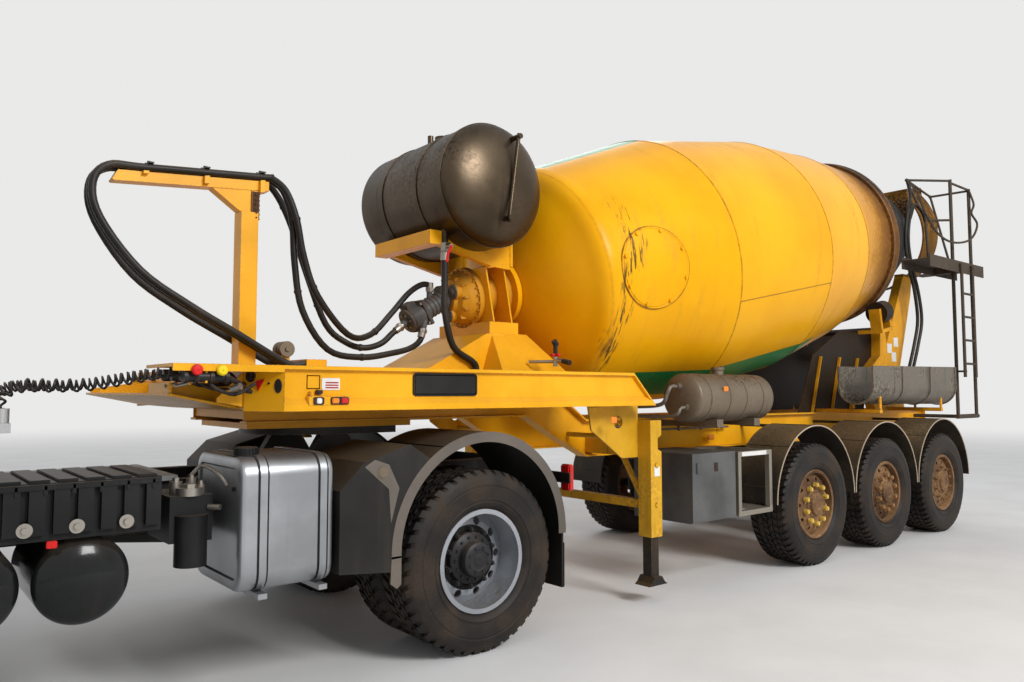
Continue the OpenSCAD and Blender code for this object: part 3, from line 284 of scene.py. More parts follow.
class Paint:
    """The nodes of one material, written as functions of its object's own coordinates."""

    def __init__(self, name):
        self.material = bpy.data.materials.new(name)
        self.material.use_nodes = True
        self.tree = self.material.node_tree
        self.shader = self.tree.nodes["Principled BSDF"]
        self.place = self.node("ShaderNodeTexCoord").outputs["Object"]

    def node(self, kind, inputs=None, **settings):
        made = self.tree.nodes.new(kind)
        for key, value in settings.items():
            setattr(made, key, value)
        for key, value in (inputs or {}).items():
            self.put(made.inputs[key], value)
        return made

    def put(self, socket, value):
        if isinstance(value, bpy.types.NodeSocket):
            self.tree.links.new(value, socket)
        elif isinstance(value, tuple) and len(value) == 3 and socket.type == "RGBA":
            socket.default_value = (*value, 1)
        else:
            socket.default_value = value

    def set(self, **sockets):
        names = {"colour": "Base Color", "rough": "Roughness", "metal": "Metallic", "normal": "Normal",
                 "coat": "Coat Weight", "sheen": "Sheen Weight", "glass": "Transmission Weight", "ior": "IOR",
                 "shine": "Specular IOR Level"}
        for key, value in sockets.items():
            self.put(self.shader.inputs[names[key]], value)
        return self.material

    def noise(self, scale, detail=4.0, stretch=(1, 1, 1), lumpy=0.55, warp=0.0):
        where = self.node("ShaderNodeMapping", {"Vector": self.place, "Scale": stretch}).outputs[0]
        return self.node("ShaderNodeTexNoise", {"Vector": where, "Scale": scale, "Detail": detail,
                                                "Roughness": lumpy, "Distortion": warp}).outputs["Fac"]

    def cells(self, scale):
        return self.node("ShaderNodeTexVoronoi", {"Vector": self.place, "Scale": scale}).outputs["Distance"]

    def span(self, value, low, high, to_low=0.0, to_high=1.0):
        return self.node("ShaderNodeMapRange", {"Value": value, "From Min": low, "From Max": high,
                                                "To Min": to_low, "To Max": to_high},
                         interpolation_type="SMOOTHSTEP").outputs["Result"]

    def math(self, how, a, b=0.0):
        return self.node("ShaderNodeMath", {0: a, 1: b}, operation=how).outputs[0]

    def times(self, first, *others):
        for other in others:
            first = self.math("MULTIPLY", first, other)
        return first

    def plus(self, a, b):
        return self.math("ADD", a, b)

    def minus(self, a, b):
        return self.math("SUBTRACT", a, b)

    def sway(self, value, noise, amount):
        """A value shifted to and fro by a noise."""
        return self.plus(value, self.times(self.minus(noise, 0.5), amount))

    def off(self, value, middle):
        """How far a value is from another, without its sign."""
        return self.math("ABSOLUTE", self.minus(value, middle))

    def band(self, value, low, high, soft):
        """1 between two values and 0 outside, with soft edges."""
        return self.times(self.span(value, low - soft, low + soft), self.span(value, high + soft, high - soft))

    def hypot(self, a, b):
        return self.math("SQRT", self.plus(self.times(a, a), self.times(b, b)))

    def ahead(self, axis, origin):
        """How far a point lies along a direction, from an origin."""
        start = self.node("ShaderNodeVectorMath", {0: self.place, 1: tuple(origin)}, operation="SUBTRACT").outputs[0]
        return self.node("ShaderNodeVectorMath", {0: start, 1: tuple(axis)}, operation="DOT_PRODUCT").outputs["Value"]

    def mix(self, share, a, b):
        return self.node("ShaderNodeMix", {0: share, 6: a, 7: b}, data_type="RGBA").outputs[2]

    def blend(self, share, a, b):
        return self.node("ShaderNodeMix", {0: share, 2: a, 3: b}, data_type="FLOAT").outputs[0]

    def axis(self, letter):
        parts = self.node("ShaderNodeSeparateXYZ", {0: self.place})
        return parts.outputs[letter]

    def bump(self, height, distance):
        return self.node("ShaderNodeBump", {"Height": height, "Distance": distance, "Strength": 1.0}).outputs[0]

    def edges(self):
        """How much a point lies on a sharp edge, from 0 to 1."""
        flat = self.node("ShaderNodeNewGeometry").outputs["Normal"]
        round_off = self.node("ShaderNodeBevel", {"Radius": WORN_EDGE_R}, samples=4).outputs[0]
        same = self.node("ShaderNodeVectorMath", {0: flat, 1: round_off}, operation="DOT_PRODUCT").outputs["Value"]
        return self.span(same, 0.985, 0.8)

    def upward(self):
        """How much a surface faces up, from 0 to 1."""
        normal = self.node("ShaderNodeNewGeometry").outputs["Normal"]
        return self.span(self.node("ShaderNodeSeparateXYZ", {0: normal}).outputs["Z"], 0.2, 0.95)


def coated(name, colour, rough, dirt, dirt_share, wear=None, metal=0.0, coat=0.0, streaks=0.25, grain=0.0004,
           wash=0.06, shine=0.2, low=None, grey=None, inner=None, hub=None, behind=None):
    """Painted or plain metal and plastic with tonal variation, dust, run-down streaks and worn edges.

    The last five give a second colour below a height, before a place on the drum's axis, on the inner side,
    round a hub, or behind a place along the vehicle.
    """
    p = Paint(name)
    cloud = p.noise(1.7, 5.0)
    fine = p.noise(38.0, 6.0)
    runs = p.noise(9.0, 5.0, stretch=(1.0, 1.0, 0.07))
    lighter = tuple(min(1.0, c * (1 + 2.2 * wash) + 0.01) for c in colour)
    darker = tuple(c * (1 - 2.2 * wash) for c in colour)
    shade = p.mix(p.span(cloud, 0.3, 0.7), darker, lighter)
    patch = p.times(p.span(cloud, 0.62 - 0.3 * dirt_share, 0.92 - 0.3 * dirt_share), p.span(fine, 0.25, 0.75))
    run = p.times(p.span(runs, 0.56, 0.8), streaks)
    dust = p.times(p.upward(), p.span(fine, 0.2, 0.7, 0.25, 0.8 * dirt_share + 0.2))
    soil = p.math("MAXIMUM", p.times(patch, dirt_share * 1.4), run)
    soil = p.math("MINIMUM", p.plus(soil, dust), 1.0)
    if low:
        shade = p.mix(p.span(p.axis("Z"), low[0] + 0.006, low[0] - 0.006), shade, low[1])
    if grey:
        past = p.ahead(DRUM_AXIS, FLANGE)
        shade = p.mix(p.span(past, grey[0] + 0.004, grey[0] - 0.004), shade, grey[1])
    if hub:
        r = p.hypot(p.minus(p.axis("X"), hub[0]), p.minus(p.axis("Z"), hub[1]))
        shade = p.mix(p.span(r, hub[2] + 0.003, hub[2] - 0.003), shade, hub[3])
    if behind:
        shade = p.mix(p.span(p.axis("X"), behind[0] + 0.001, behind[0] - 0.001), shade, behind[1])
    if inner:
        out = p.math("ABSOLUTE", p.axis("Y"))
        shade = p.mix(p.span(out, inner[0] + 0.0005, inner[0] - 0.0005), shade, inner[1])
    shade = p.mix(soil, shade, dirt)
    roughness = p.blend(soil, rough, min(1.0, rough + 0.35))
    if wear:
        bare = p.times(p.edges(), p.span(p.noise(60.0, 3.0), 0.42, 0.58))
        shade = p.mix(bare, shade, wear)
    height = p.plus(p.times(soil, 0.6), fine)
    return p.set(colour=shade, rough=roughness, metal=metal, coat=coat, shine=shine, normal=p.bump(height, grain))


YELLOW = (0.8, 0.37, 0.003)
DRUM_YELLOW = ((0.76, 0.335, 0.002), (0.84, 0.405, 0.004))
DUST = (0.26, 0.2, 0.14)
EARTH = (0.13, 0.095, 0.065)
RUST = (0.19, 0.075, 0.03)


def rubber():
    p = Paint("tyre rubber")
    cloud = p.noise(5.0, 5.0)
    fine = p.noise(70.0, 5.0)
    soil = p.times(p.span(cloud, 0.38, 0.75), p.span(fine, 0.3, 0.7, 0.35, 0.85))
    shade = p.mix(soil, (0.012, 0.0098, 0.0085), (0.056, 0.036, 0.022))
    return p.set(colour=shade, rough=p.span(soil, 0.0, 1.0, 0.55, 0.85), shine=0.25, normal=p.bump(fine, 0.0006))


def window_glass():
    p = Paint("window glass")
    smear = p.span(p.noise(3.0, 3.0), 0.4, 0.8, 0.02, 0.16)
    return p.set(colour=(0.42, 0.5, 0.52), rough=smear, glass=0.85, ior=1.45)


def cloth():
    p = Paint("seat cloth")
    weave = p.times(p.cells(420.0), p.span(p.noise(4.0), 0.3, 0.7, 0.6, 1.0))
    shade = p.mix(weave, (0.06, 0.065, 0.08), (0.14, 0.15, 0.18))
    return p.set(colour=shade, rough=0.9, sheen=0.3, normal=p.bump(weave, 0.001))


# Outer radius of the drum at distances behind its flange, both in metres
SHELL = (
    (-0.148, 0.27), (-0.115, 0.42), (-0.052, 0.62), (0.038, 0.8), (0.13, 0.945), (1.42, 1.197),
    (2.9, 1.197), (3.86, 1.08), (4.685, 0.935), (5.05, 0.87), (6.02, 0.56))
SEAMS = (0.13, 1.42, 2.9, 3.86)
# Middle of the hatch, behind the flange and from the top, its radius, and the drum's radius there
HATCH = (0.551, 89.3, 0.322)
HATCH_SHELL_R = 1.027
# The straight weld of the drum's cylinder, in degrees from the top
WELD_TURN = 108.0
# Painted shade along the drum's raised seams and straight weld: how dark each seam's line is, then their brown colour
SEAM_DEPTHS = (0.25, 0.62, 0.55, 0.7)
SEAM_SHADE = (0.16, 0.075, 0.012)
# Green flashes: where they start and end at their lower turn, their range of turn, and their slant in metres a degree
FLASHES = ((0.5, 2.92, 141.0, 163.0), (0.42, 1.55, -22.0, 15.0))
FLASH_SLANT = 0.012
GREEN = (0.005, 0.2, 0.055)


def shell_radius(along):
    for (t0, r0), (t1, r1) in zip(SHELL, SHELL[1:]):
        if along <= t1:
            return r0 + (r1 - r0) * max(0.0, (along - t0) / (t1 - t0))
    return SHELL[-1][1]


def on_shell(along, turn, lift=0.0):
    """A point on the drum: distance behind the flange, degrees from the top towards the left side."""
    r = shell_radius(along) + lift
    angle = math.radians(turn)
    return DRUM @ Vector((r * math.cos(angle), r * math.sin(angle), along))


def drum_paint():
    """Yellow with green flashes at the front, browning towards the track ring, with a black crust behind it."""
    p = Paint("drum paint")
    along = p.ahead(DRUM_AXIS, FLANGE)
    turn = p.times(p.math("ARCTAN2", p.ahead((0, 1, 0), FLANGE), p.ahead(DRUM_UP, FLANGE)), 180 / math.pi)
    cloud = p.noise(1.3, 6.0)
    fine = p.noise(22.0, 6.0)
    rings = p.noise(2.4, 4.0, stretch=(4.0, 0.6, 0.6))
    base = p.mix(p.span(cloud, 0.3, 0.7), DRUM_YELLOW[0], DRUM_YELLOW[1])
    slope = p.plus(along, p.times(turn, FLASH_SLANT))
    for first, last, low, high in FLASHES:
        start = first + FLASH_SLANT * low
        stop = last + FLASH_SLANT * high
        inside = p.times(p.band(turn, low, high, 0.2), p.band(slope, start, stop, 0.004))
        base = p.mix(inside, base, GREEN)
    soil = p.times(p.span(rings, 0.54, 0.76), p.span(fine, 0.3, 0.7, 0.05, 0.4))
    shade = p.mix(soil, base, (0.44, 0.22, 0.03))
    path = p.span(turn, 74.0, 126.0, 0.4, 0.165)
    away = p.off(p.sway(along, p.noise(3.5, 3.0), 0.3), path)
    runs = p.noise(15.0, 6.0, (2.6, 0.3, 0.3), 0.62, 0.25)
    drip = p.times(p.span(away, 0.115, 0.02), p.span(runs, 0.535, 0.575), p.span(turn, 50.0, 60.0),
                   p.span(turn, 150.0, 128.0), 0.88)
    shade = p.mix(drip, shade, (0.035, 0.026, 0.016))
    # Painted shade: dark brown lines along the raised seams, mottled by noise
    for seam, depth in zip(SEAMS, SEAM_DEPTHS):
        line = p.times(p.span(p.off(along, seam), 0.016, 0.003), p.span(fine, 0.35, 0.65, 0.35 * depth, depth))
        shade = p.mix(line, shade, SEAM_SHADE)
    # Painted shade along the straight weld's raised bead
    weld = p.times(p.span(p.off(turn, WELD_TURN), 0.42, 0.1), p.band(along, 1.421, 2.901, 0.003), 0.65)
    shade = p.mix(weld, shade, SEAM_SHADE)
    # A dark brown line round the hatch's rim: painted shade at the rim's step, mottled by noise
    aside = p.times(p.minus(turn, HATCH[1]), math.radians(1.0) * HATCH_SHELL_R)
    reach = p.hypot(aside, p.minus(along, HATCH[0]))
    rim = p.span(p.off(reach, HATCH[2]), 0.01, 0.002)
    shade = p.mix(p.times(rim, p.span(fine, 0.3, 0.6, 0.45, 0.9)), shade, (0.13, 0.06, 0.012))
    wobble = p.sway(p.sway(along, cloud, 0.9), fine, 0.5)
    tarnish = p.span(p.sway(along, cloud, 0.25), 3.8, 3.98)
    shade = p.mix(p.times(tarnish, 0.72), shade, (0.46, 0.185, 0.006))
    rust = p.span(wobble, 4.02, 4.62)
    shade = p.mix(rust, shade, p.mix(p.span(fine, 0.3, 0.7), (0.085, 0.034, 0.008), (0.24, 0.095, 0.014)))
    crust = p.span(wobble, 4.66, 4.92)
    flakes = p.span(p.cells(34.0), 0.38, 0.12)
    pale = p.times(flakes, p.span(p.noise(7.0, 4.0), 0.5, 0.66))
    shade = p.mix(crust, shade, p.mix(pale, (0.022, 0.019, 0.017), (0.33, 0.29, 0.25)))
    height = p.plus(fine, p.times(crust, flakes, 6.0))
    rough = p.blend(p.math("MAXIMUM", rust, soil), 0.3, 0.7)
    return p.set(colour=shade, rough=rough, shine=0.12, normal=p.bump(height, 0.0015))


def build_materials():
    """One finish for each material slot of the record, and those of single nodes and pieces."""
    def paint(name, *values, **more):
        FINISH[name] = coated(name.replace("_", " "), *values, **more)

    FINISH.update(tyre=rubber(), glass=window_glass(), seat_cloth=cloth(), drum_paint=drum_paint())
    paint("chassis", (0.012, 0.011, 0.01), 0.5, EARTH, 0.4, RUST)
    paint("fifth_wheel", (0.045, 0.042, 0.038), 0.45, EARTH, 0.4, (0.3, 0.28, 0.26), metal=0.4)
    paint("engine", (0.09, 0.09, 0.09), 0.6, EARTH, 0.5)
    paint("axle_black", (0.02, 0.019, 0.018), 0.6, EARTH, 0.6)
    paint("rim_silver", (0.34, 0.36, 0.39), 0.36, EARTH, 0.4, RUST, metal=0.55)
    paint("drive_rim", (0.34, 0.36, 0.39), 0.36, EARTH, 0.4, RUST, metal=0.5,
          hub=(DRIVE_X, 0.53, 0.192, (0.012, 0.011, 0.01)))
    paint("cab_paint", (0.74, 0.75, 0.75), 0.25, DUST, 0.12, coat=0.6, streaks=0.08, grain=0.0001, wash=0.015)
    paint("lamp", (0.8, 0.84, 0.88), 0.12, DUST, 0.1, metal=0.1, coat=0.8, streaks=0.0, grain=0.0001)
    paint("trim_plastic", (0.022, 0.023, 0.025), 0.6, DUST, 0.2, streaks=0.1)
    paint("tank_aluminium", (0.36, 0.37, 0.385), 0.33, (0.1, 0.09, 0.08), 0.22, metal=0.85, streaks=0.3,
          grain=0.0002, wash=0.1)
    paint("black_plastic", (0.0055, 0.0055, 0.006), 0.42, EARTH, 0.14, streaks=0.08)
    paint("tank_black", (0.004, 0.0045, 0.005), 0.16, EARTH, 0.15, coat=0.15, streaks=0.1, grain=0.0001)
    paint("mudguard_plastic", (0.012, 0.0105, 0.009), 0.5, (0.15, 0.105, 0.06), 0.24, streaks=0.12)
    paint("catwalk_aluminium", (0.42, 0.42, 0.42), 0.35, EARTH, 0.35, metal=0.8)
    paint("yellow_paint", YELLOW, 0.34, (0.3, 0.15, 0.03), 0.12, EARTH, streaks=0.12, shine=0.2)
    paint("leg_paint", (0.62, 0.33, 0.012), 0.45, (0.1, 0.055, 0.02), 0.55, EARTH, streaks=0.75, shine=0.2,
          wash=0.12, low=(0.468, (0.018, 0.016, 0.014)))
    paint("gearbox_paint", (0.6, 0.27, 0.01), 0.42, EARTH, 0.4, RUST, grey=(-0.701, (0.085, 0.085, 0.085)))
    paint("water_tank_metal", (0.075, 0.053, 0.032), 0.32, (0.014, 0.009, 0.006), 0.6, metal=0.8, streaks=0.75,
          grain=0.0003, wash=0.16)
    paint("roller_steel", (0.04, 0.027, 0.018), 0.5, EARTH, 0.5, (0.3, 0.27, 0.24), metal=0.5)
    paint("crusted_yellow", (0.72, 0.32, 0.006), 0.5, (0.045, 0.024, 0.009), 0.55, RUST, streaks=0.85,
          grain=0.0008, wash=0.14, inner=(0.4565, (0.02, 0.012, 0.006)))
    paint("crusted_trough", (0.3, 0.13, 0.01), 0.65, (0.03, 0.018, 0.01), 1.0, RUST, streaks=0.8, grain=0.002,
          wash=0.2)
    paint("worn_steel", (0.2, 0.175, 0.14), 0.45, (0.035, 0.024, 0.014), 0.75, RUST, metal=0.4, streaks=0.8,
          grain=0.001, wash=0.16)
    paint("dirty_steel", (0.07, 0.052, 0.036), 0.7, (0.026, 0.019, 0.013), 0.7, RUST, streaks=0.5, grain=0.0012)
    paint("mudguard_dirty", (0.022, 0.017, 0.012), 0.55, (0.16, 0.105, 0.05), 0.6)
    paint("box_steel", (0.135, 0.135, 0.135), 0.36, (0.045, 0.036, 0.026), 0.5, EARTH, metal=0.6, wash=0.14,
          behind=(DRIVE_X - 2.53, (0.3, 0.27, 0.22)))
    paint("side_tank_metal", (0.17, 0.13, 0.09), 0.4, (0.06, 0.045, 0.03), 0.5, metal=0.4, streaks=0.45, wash=0.12)
    paint("guard_edge", (0.42, 0.33, 0.24), 0.45, EARTH, 0.35)
    paint("pale_guard", (0.115, 0.098, 0.082), 0.55, (0.2, 0.15, 0.1), 0.5)
    paint("mirror_silver", (0.62, 0.64, 0.66), 0.06, DUST, 0.06, metal=0.95, streaks=0.0, grain=0.0001)
    paint("lamp_red", (0.55, 0.01, 0.008), 0.2, EARTH, 0.15, coat=0.5, streaks=0.0, grain=0.0001)
    paint("lamp_amber", (0.75, 0.22, 0.01), 0.2, EARTH, 0.2, coat=0.5, streaks=0.0, grain=0.0001)
    paint("lamp_white", (0.75, 0.74, 0.7), 0.2, EARTH, 0.2, coat=0.5, streaks=0.0, grain=0.0001)
    paint("label_white", (0.72, 0.71, 0.68), 0.5, DUST, 0.3, streaks=0.1)
    paint("label_red", (0.45, 0.03, 0.025), 0.5, DUST, 0.3, streaks=0.1)
    paint("nameplate_black", (0.012, 0.011, 0.01), 0.35, DUST, 0.1, streaks=0.05)
    paint("knob_red", (0.62, 0.012, 0.01), 0.35, EARTH, 0.1)
    paint("knob_yellow", (0.86, 0.62, 0.01), 0.35, EARTH, 0.1)
    paint("fitting_metal", (0.36, 0.33, 0.29), 0.38, EARTH, 0.45, metal=0.85)
    paint("motor_grey", (0.06, 0.06, 0.06), 0.5, EARTH, 0.45, RUST, grain=0.001)
    paint("fitting_black", (0.014, 0.013, 0.013), 0.4, EARTH, 0.3, RUST)
    paint("rusty_block", (0.05, 0.026, 0.012), 0.75, (0.14, 0.06, 0.02), 0.7, RUST, grain=0.002)
    paint("rim_rust", (0.115, 0.055, 0.026), 0.62, (0.34, 0.2, 0.09), 0.75, (0.4, 0.26, 0.12), metal=0.25,
          streaks=0.3, grain=0.0012, wash=0.2)
    paint("hub_black", (0.02, 0.02, 0.022), 0.42, EARTH, 0.35, metal=0.2)
    paint("pointer_yellow", (0.62, 0.4, 0.07), 0.5, EARTH, 0.3)
    paint("pointer_brown", (0.3, 0.15, 0.05), 0.6, EARTH, 0.6)
    paint("ring_steel", (0.16, 0.085, 0.045), 0.48, (0.05, 0.035, 0.025), 0.7, (0.42, 0.36, 0.3), metal=0.45,
          wash=0.15)
    paint("hose_rubber", (0.014, 0.012, 0.01), 0.4, EARTH, 0.35, streaks=0.0)


OWN_FINISH = {"landing_legs": "leg_paint", "collector": "crusted_trough", "drive_rims_l": "drive_rim",
              "drive_rims_r": "drive_rim"}


def dress_nodes():
    """Gives each CAD node the finish of its record slot."""
    slots = {part["node"]: part["material_slot"] for part in frame["record"]["subparts"]}
    for name, piece in frame["nodes"].items():
        piece.data.materials.clear()
        piece.data.materials.append(FINISH[OWN_FINISH.get(name, slots[name])])


# Cords: the mast's hoses and the coiled air lines, on the routes of their CAD solids

MAST_RISE = ((640, 1700), (760, 1700), (1067, 1865), (1361, 2026), (1640, 2215), (1850, 2500), (1890, 2700),
             (1810, 2815), (1600, 2836), (900, 2900))
MAST_HOSE_ROUTES = [[(x, y, z) for (x, z), y in zip(MAST_RISE, sides)] + rest for sides, rest in (
    ((90, 90, 90, 85, 60, 20, 0, 0, 0, 0),
     [(850, 5, 2900), (770, 50, 2830), (720, 85, 2640), (700, 90, 2360), (640, 90, 2050), (457, 90, 1800),
      (200, 90, 1755), (-60, 85, 1795), (-210, 65, 1835), (-295, 55, 1895), (-320, 55, 1985)]),
    ((-90, -90, -90, -90, -75, -55, -50, -50, -50, -50),
     [(850, -52, 2900), (750, -75, 2815), (650, -90, 2640), (540, -90, 2340), (390, -85, 1987),
      (245, -60, 1863), (120, -30, 1828), (0, 0, 1862), (-95, 0, 1941), (-175, 0, 2001)]),
    ((140, 140, 140, 135, 110, 70, 50, 50, 50, 50),
     [(850, 55, 2900), (770, 98, 2820), (710, 132, 2640), (660, 140, 2400), (560, 140, 2150), (314, 100, 1906),
      (100, 30, 1920), (-80, 0, 2080), (-220, 0, 2235), (-335, 0, 2312), (-410, 0, 2312), (-410, 0, 2262)]))]
MAST_HOSE_R = 0.022
TANK_HOSE_ROUTE = (
    (-286, 380, 2490), (-286, 380, 2290), (-290, 380, 2083), (-360, 380, 1840), (-520, 380, 1740),
    (-560, 380, 1700), (-560, 380, 1648))
TANK_HOSE_R = 0.024


def route_path(route):
    """The smooth curve of a hose's route, which is in millimetres."""
    return smooth_path([at(x / 1000, y / 1000, z / 1000) for x, y, z in route], 5)


def held_hose(name, route, radius, replaces="mast_hoses"):
    """A hose that leaves one fitting and goes into another."""
    path = route_path(route)
    form = Form()
    form.sweep(path, radius, 14)
    piece = form.make(name, FINISH["hose_rubber"])
    if replaces:
        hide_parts(replaces)
    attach(piece, "trailer")


def mast_hoses():
    for k, route in enumerate(MAST_HOSE_ROUTES):
        held_hose(f"mast_hose_{k + 1}", route, MAST_HOSE_R)
    held_hose("tank_hose", TANK_HOSE_ROUTE, TANK_HOSE_R)


COIL_ROUTE = (
    (1690, 1600), (1800, 1600), (1940, 1575), (2080, 1550), (2220, 1545), (2320, 1545), (2380, 1525), (2400, 1490),
    (2400, 1450))
COIL_Y = (0.82, 0.96, 1.1)
COIL_TURNS = (28, 28, 15)
COIL_R = (0.021, 0.021, 0.026)
LINE_R = (0.0045, 0.0045, 0.0055)


REAR_HOSE_ROUTES = (
    ((-6858, 690, 4060), (-6850, 705, 4000), (-6800, 740, 3860), (-6680, 756, 3640), (-6605, 756, 3300),
     (-6668, 756, 3000), (-6790, 758, 2728), (-6850, 760, 2373), (-6740, 758, 2070), (-6630, 740, 1794),
     (-6640, 690, 1590), (-6640, 630, 1500), (-6640, 572, 1470)),
    ((-7066, 790, 3610), (-7050, 785, 3660), (-7000, 768, 3730), (-6880, 752, 3770), (-6750, 752, 3600),
     (-6680, 756, 3300), (-6755, 756, 3000), (-6890, 758, 2728), (-6960, 760, 2380), (-6850, 758, 2080),
     (-6740, 740, 1800), (-6740, 690, 1600), (-6740, 630, 1510), (-6740, 572, 1480)))


def rear_hoses():
    """Washing hoses from the railing down to the rear stand."""
    for k, route in enumerate(REAR_HOSE_ROUTES):
        held_hose(f"rear_hose_{k + 1}", route, 0.019, None)


def air_coils():
    for k, y in enumerate(COIL_Y):
        route = smooth_path([at(x / 1000, y, z / 1000) for x, z in COIL_ROUTE], 12)
        total = path_length(route)
        path = []
        travelled = 0.0
        steps = COIL_TURNS[k] * 16
        index = 0
        for mark in (total * i / steps for i in range(steps + 1)):
            while index < len(route) - 2 and travelled + (route[index + 1] - route[index]).length < mark:
                travelled += (route[index + 1] - route[index]).length
                index += 1
            ahead = route[index + 1] - route[index]
            middle = route[index] + ahead * ((mark - travelled) / ahead.length)
            side = Vector((0, 1, 0))
            up = ahead.normalized().cross(side)
            share = mark / total
            swell = min(1.0, share / 0.06, (1 - share) / 0.06)
            angle = 2 * math.pi * COIL_TURNS[k] * share
            path.append(middle + COIL_R[k] * swell * (math.cos(angle) * up + math.sin(angle) * side))
        form = Form()
        form.sweep(path, LINE_R[k], 7)
        piece = form.make(f"air_coil_{k + 1}", FINISH["hose_rubber"])
        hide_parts("air_coils")
        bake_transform(piece)


# Wheels, drawn about their axle with depths counted inward from the wheel's outer face

TYRE_R = 0.53
BEAD_R = 0.286
TYRE_W = 0.31
WIDE_W = 0.385
SEAT_W = 0.23
WIDE_SEAT = 0.3
OUTER_Y = 1.235
TWIN_STEP = 0.345
STEER_FACE = 1.175
TREAD_R = 0.514
LUG_R = 0.5295
SHOULDER = 0.098
AXLES = (-3.69, -5.0, -6.31)
NUTS = 10
NUT_R = 0.1675


def wheel_place(x, face_y, side):
    """A matrix whose Z axis points out of the wheel's face."""
    turn = Matrix(((1, 0, 0, 0), (0, 0, side, 0), (0, -side, 0, 0), (0, 0, 0, 1)))
    return Matrix.Translation(at(x, side * face_y, TYRE_R)) @ turn


def wheel_point(place, radius, angle, depth):
    return place @ Vector((radius * math.cos(angle), radius * math.sin(angle), -depth))


def arc_block(form, place, section, start, stop, skew=0.0):
    """A section of (radius, depth) points swept between two angles, leaning with depth by skew."""
    n = len(section)
    points = [wheel_point(place, r, a + skew * d, d) for a in (start, stop) for r, d in section]
    form.add(points, caps(n, 2) + ring_faces(n, 2))


def tyre_form(form, place, width, seat, lugs, rows):
    """A carcass with its sidewall rings, shoulder lugs on both sides and rows of tread blocks between."""
    bead = (width - seat) / 2
    half = [
        (BEAD_R + 0.0004, bead), (BEAD_R + 0.016, bead), (BEAD_R + 0.022, bead - 0.01), (0.33, 0.011),
        (0.342, 0.0065), (0.346, 0.0095), (0.352, 0.0095), (0.356, 0.0045), (0.395, 0.0015), (0.43, 0.0004),
        (0.434, 0.0035), (0.44, 0.0035), (0.444, 0.0015), (0.468, 0.0045), (0.488, 0.0095), (0.503, 0.017),
        (TREAD_R, 0.034)]
    form.revolve([(r, -d) for r, d in half] + [(r, d - width) for r, d in reversed(half)], place, 96)
    pitch = 2 * math.pi / lugs
    shoulder = [(0.505, 0.016), (LUG_R, 0.038), (LUG_R, 0.088), (0.51, 0.088), (0.498, 0.03), (0.486, 0.011)]
    for k in range(lugs):
        a = k * pitch
        arc_block(form, place, shoulder, a, a + 0.6 * pitch, 0.9)
        inner = [(r, width - d) for r, d in reversed(shoulder)]
        arc_block(form, place, inner, a + 0.5 * pitch, a + 1.1 * pitch, -0.9)
    step = (width - 2 * SHOULDER) / rows
    for row in range(rows):
        near = SHOULDER + row * step
        far = near + step - 0.01
        lean = 1.6 if row % 2 else -1.6
        for k in range(lugs):
            a = (k + 0.37 * row) * pitch
            section = [(0.508, near), (LUG_R, near), (LUG_R, far), (0.508, far)]
            arc_block(form, place, section, a, a + 0.72 * pitch, lean)


def holed_disc(form, place, depth_at, thick, inner, outer, hole_at, hole_r, count):
    """A dished disc with a ring of round hand holes, as a front, a back and the holes' walls."""
    half = math.pi / count
    corners = [math.atan2(s * half * hole_at, edge - hole_at) for edge in (outer, inner) for s in (-1, 1)]
    rays = sorted([2 * math.pi * k / 16 - math.pi for k in range(16)] + corners)
    n = len(rays)
    for k in range(count):
        middle = 2 * half * k
        rim = []
        edge = []
        for ray in rays:
            c = math.cos(ray)
            q = math.sin(ray)
            reach = min(v for v in (
                (outer - hole_at) / c if c > 1e-6 else 9.0, (inner - hole_at) / c if c < -1e-6 else 9.0,
                half * hole_at / abs(q) if abs(q) > 1e-6 else 9.0))
            rim.append((hole_at + hole_r * c, middle + hole_r * q / hole_at))
            edge.append((hole_at + reach * c, middle + reach * q / hole_at))
        points = [wheel_point(place, r, a, depth_at(r) + t) for t in (0, thick) for ring in (rim, edge)
                  for r, a in ring]
        faces = []
        for i in range(n):
            j = (i + 1) % n
            faces += [(i, j, n + j, n + i), (2 * n + j, 2 * n + i, 3 * n + i, 3 * n + j),
                      (j, i, 2 * n + i, 2 * n + j)]
        form.add(points, faces)


def nut_seat(place, a, depth):
    return shifted(place, NUT_R * math.cos(a), NUT_R * math.sin(a), -depth)


def wheel_nuts(form, place, depth, height):
    for a in around(NUTS, 0.5):
        seat = nut_seat(place, a, depth)
        form.disk(seat, 0.021, -0.002, 0.004, 14)
        form.disk(seat, 0.0165, 0.004, height, 6)
        form.disk(seat, 0.0095, height, height + 0.012, 10)


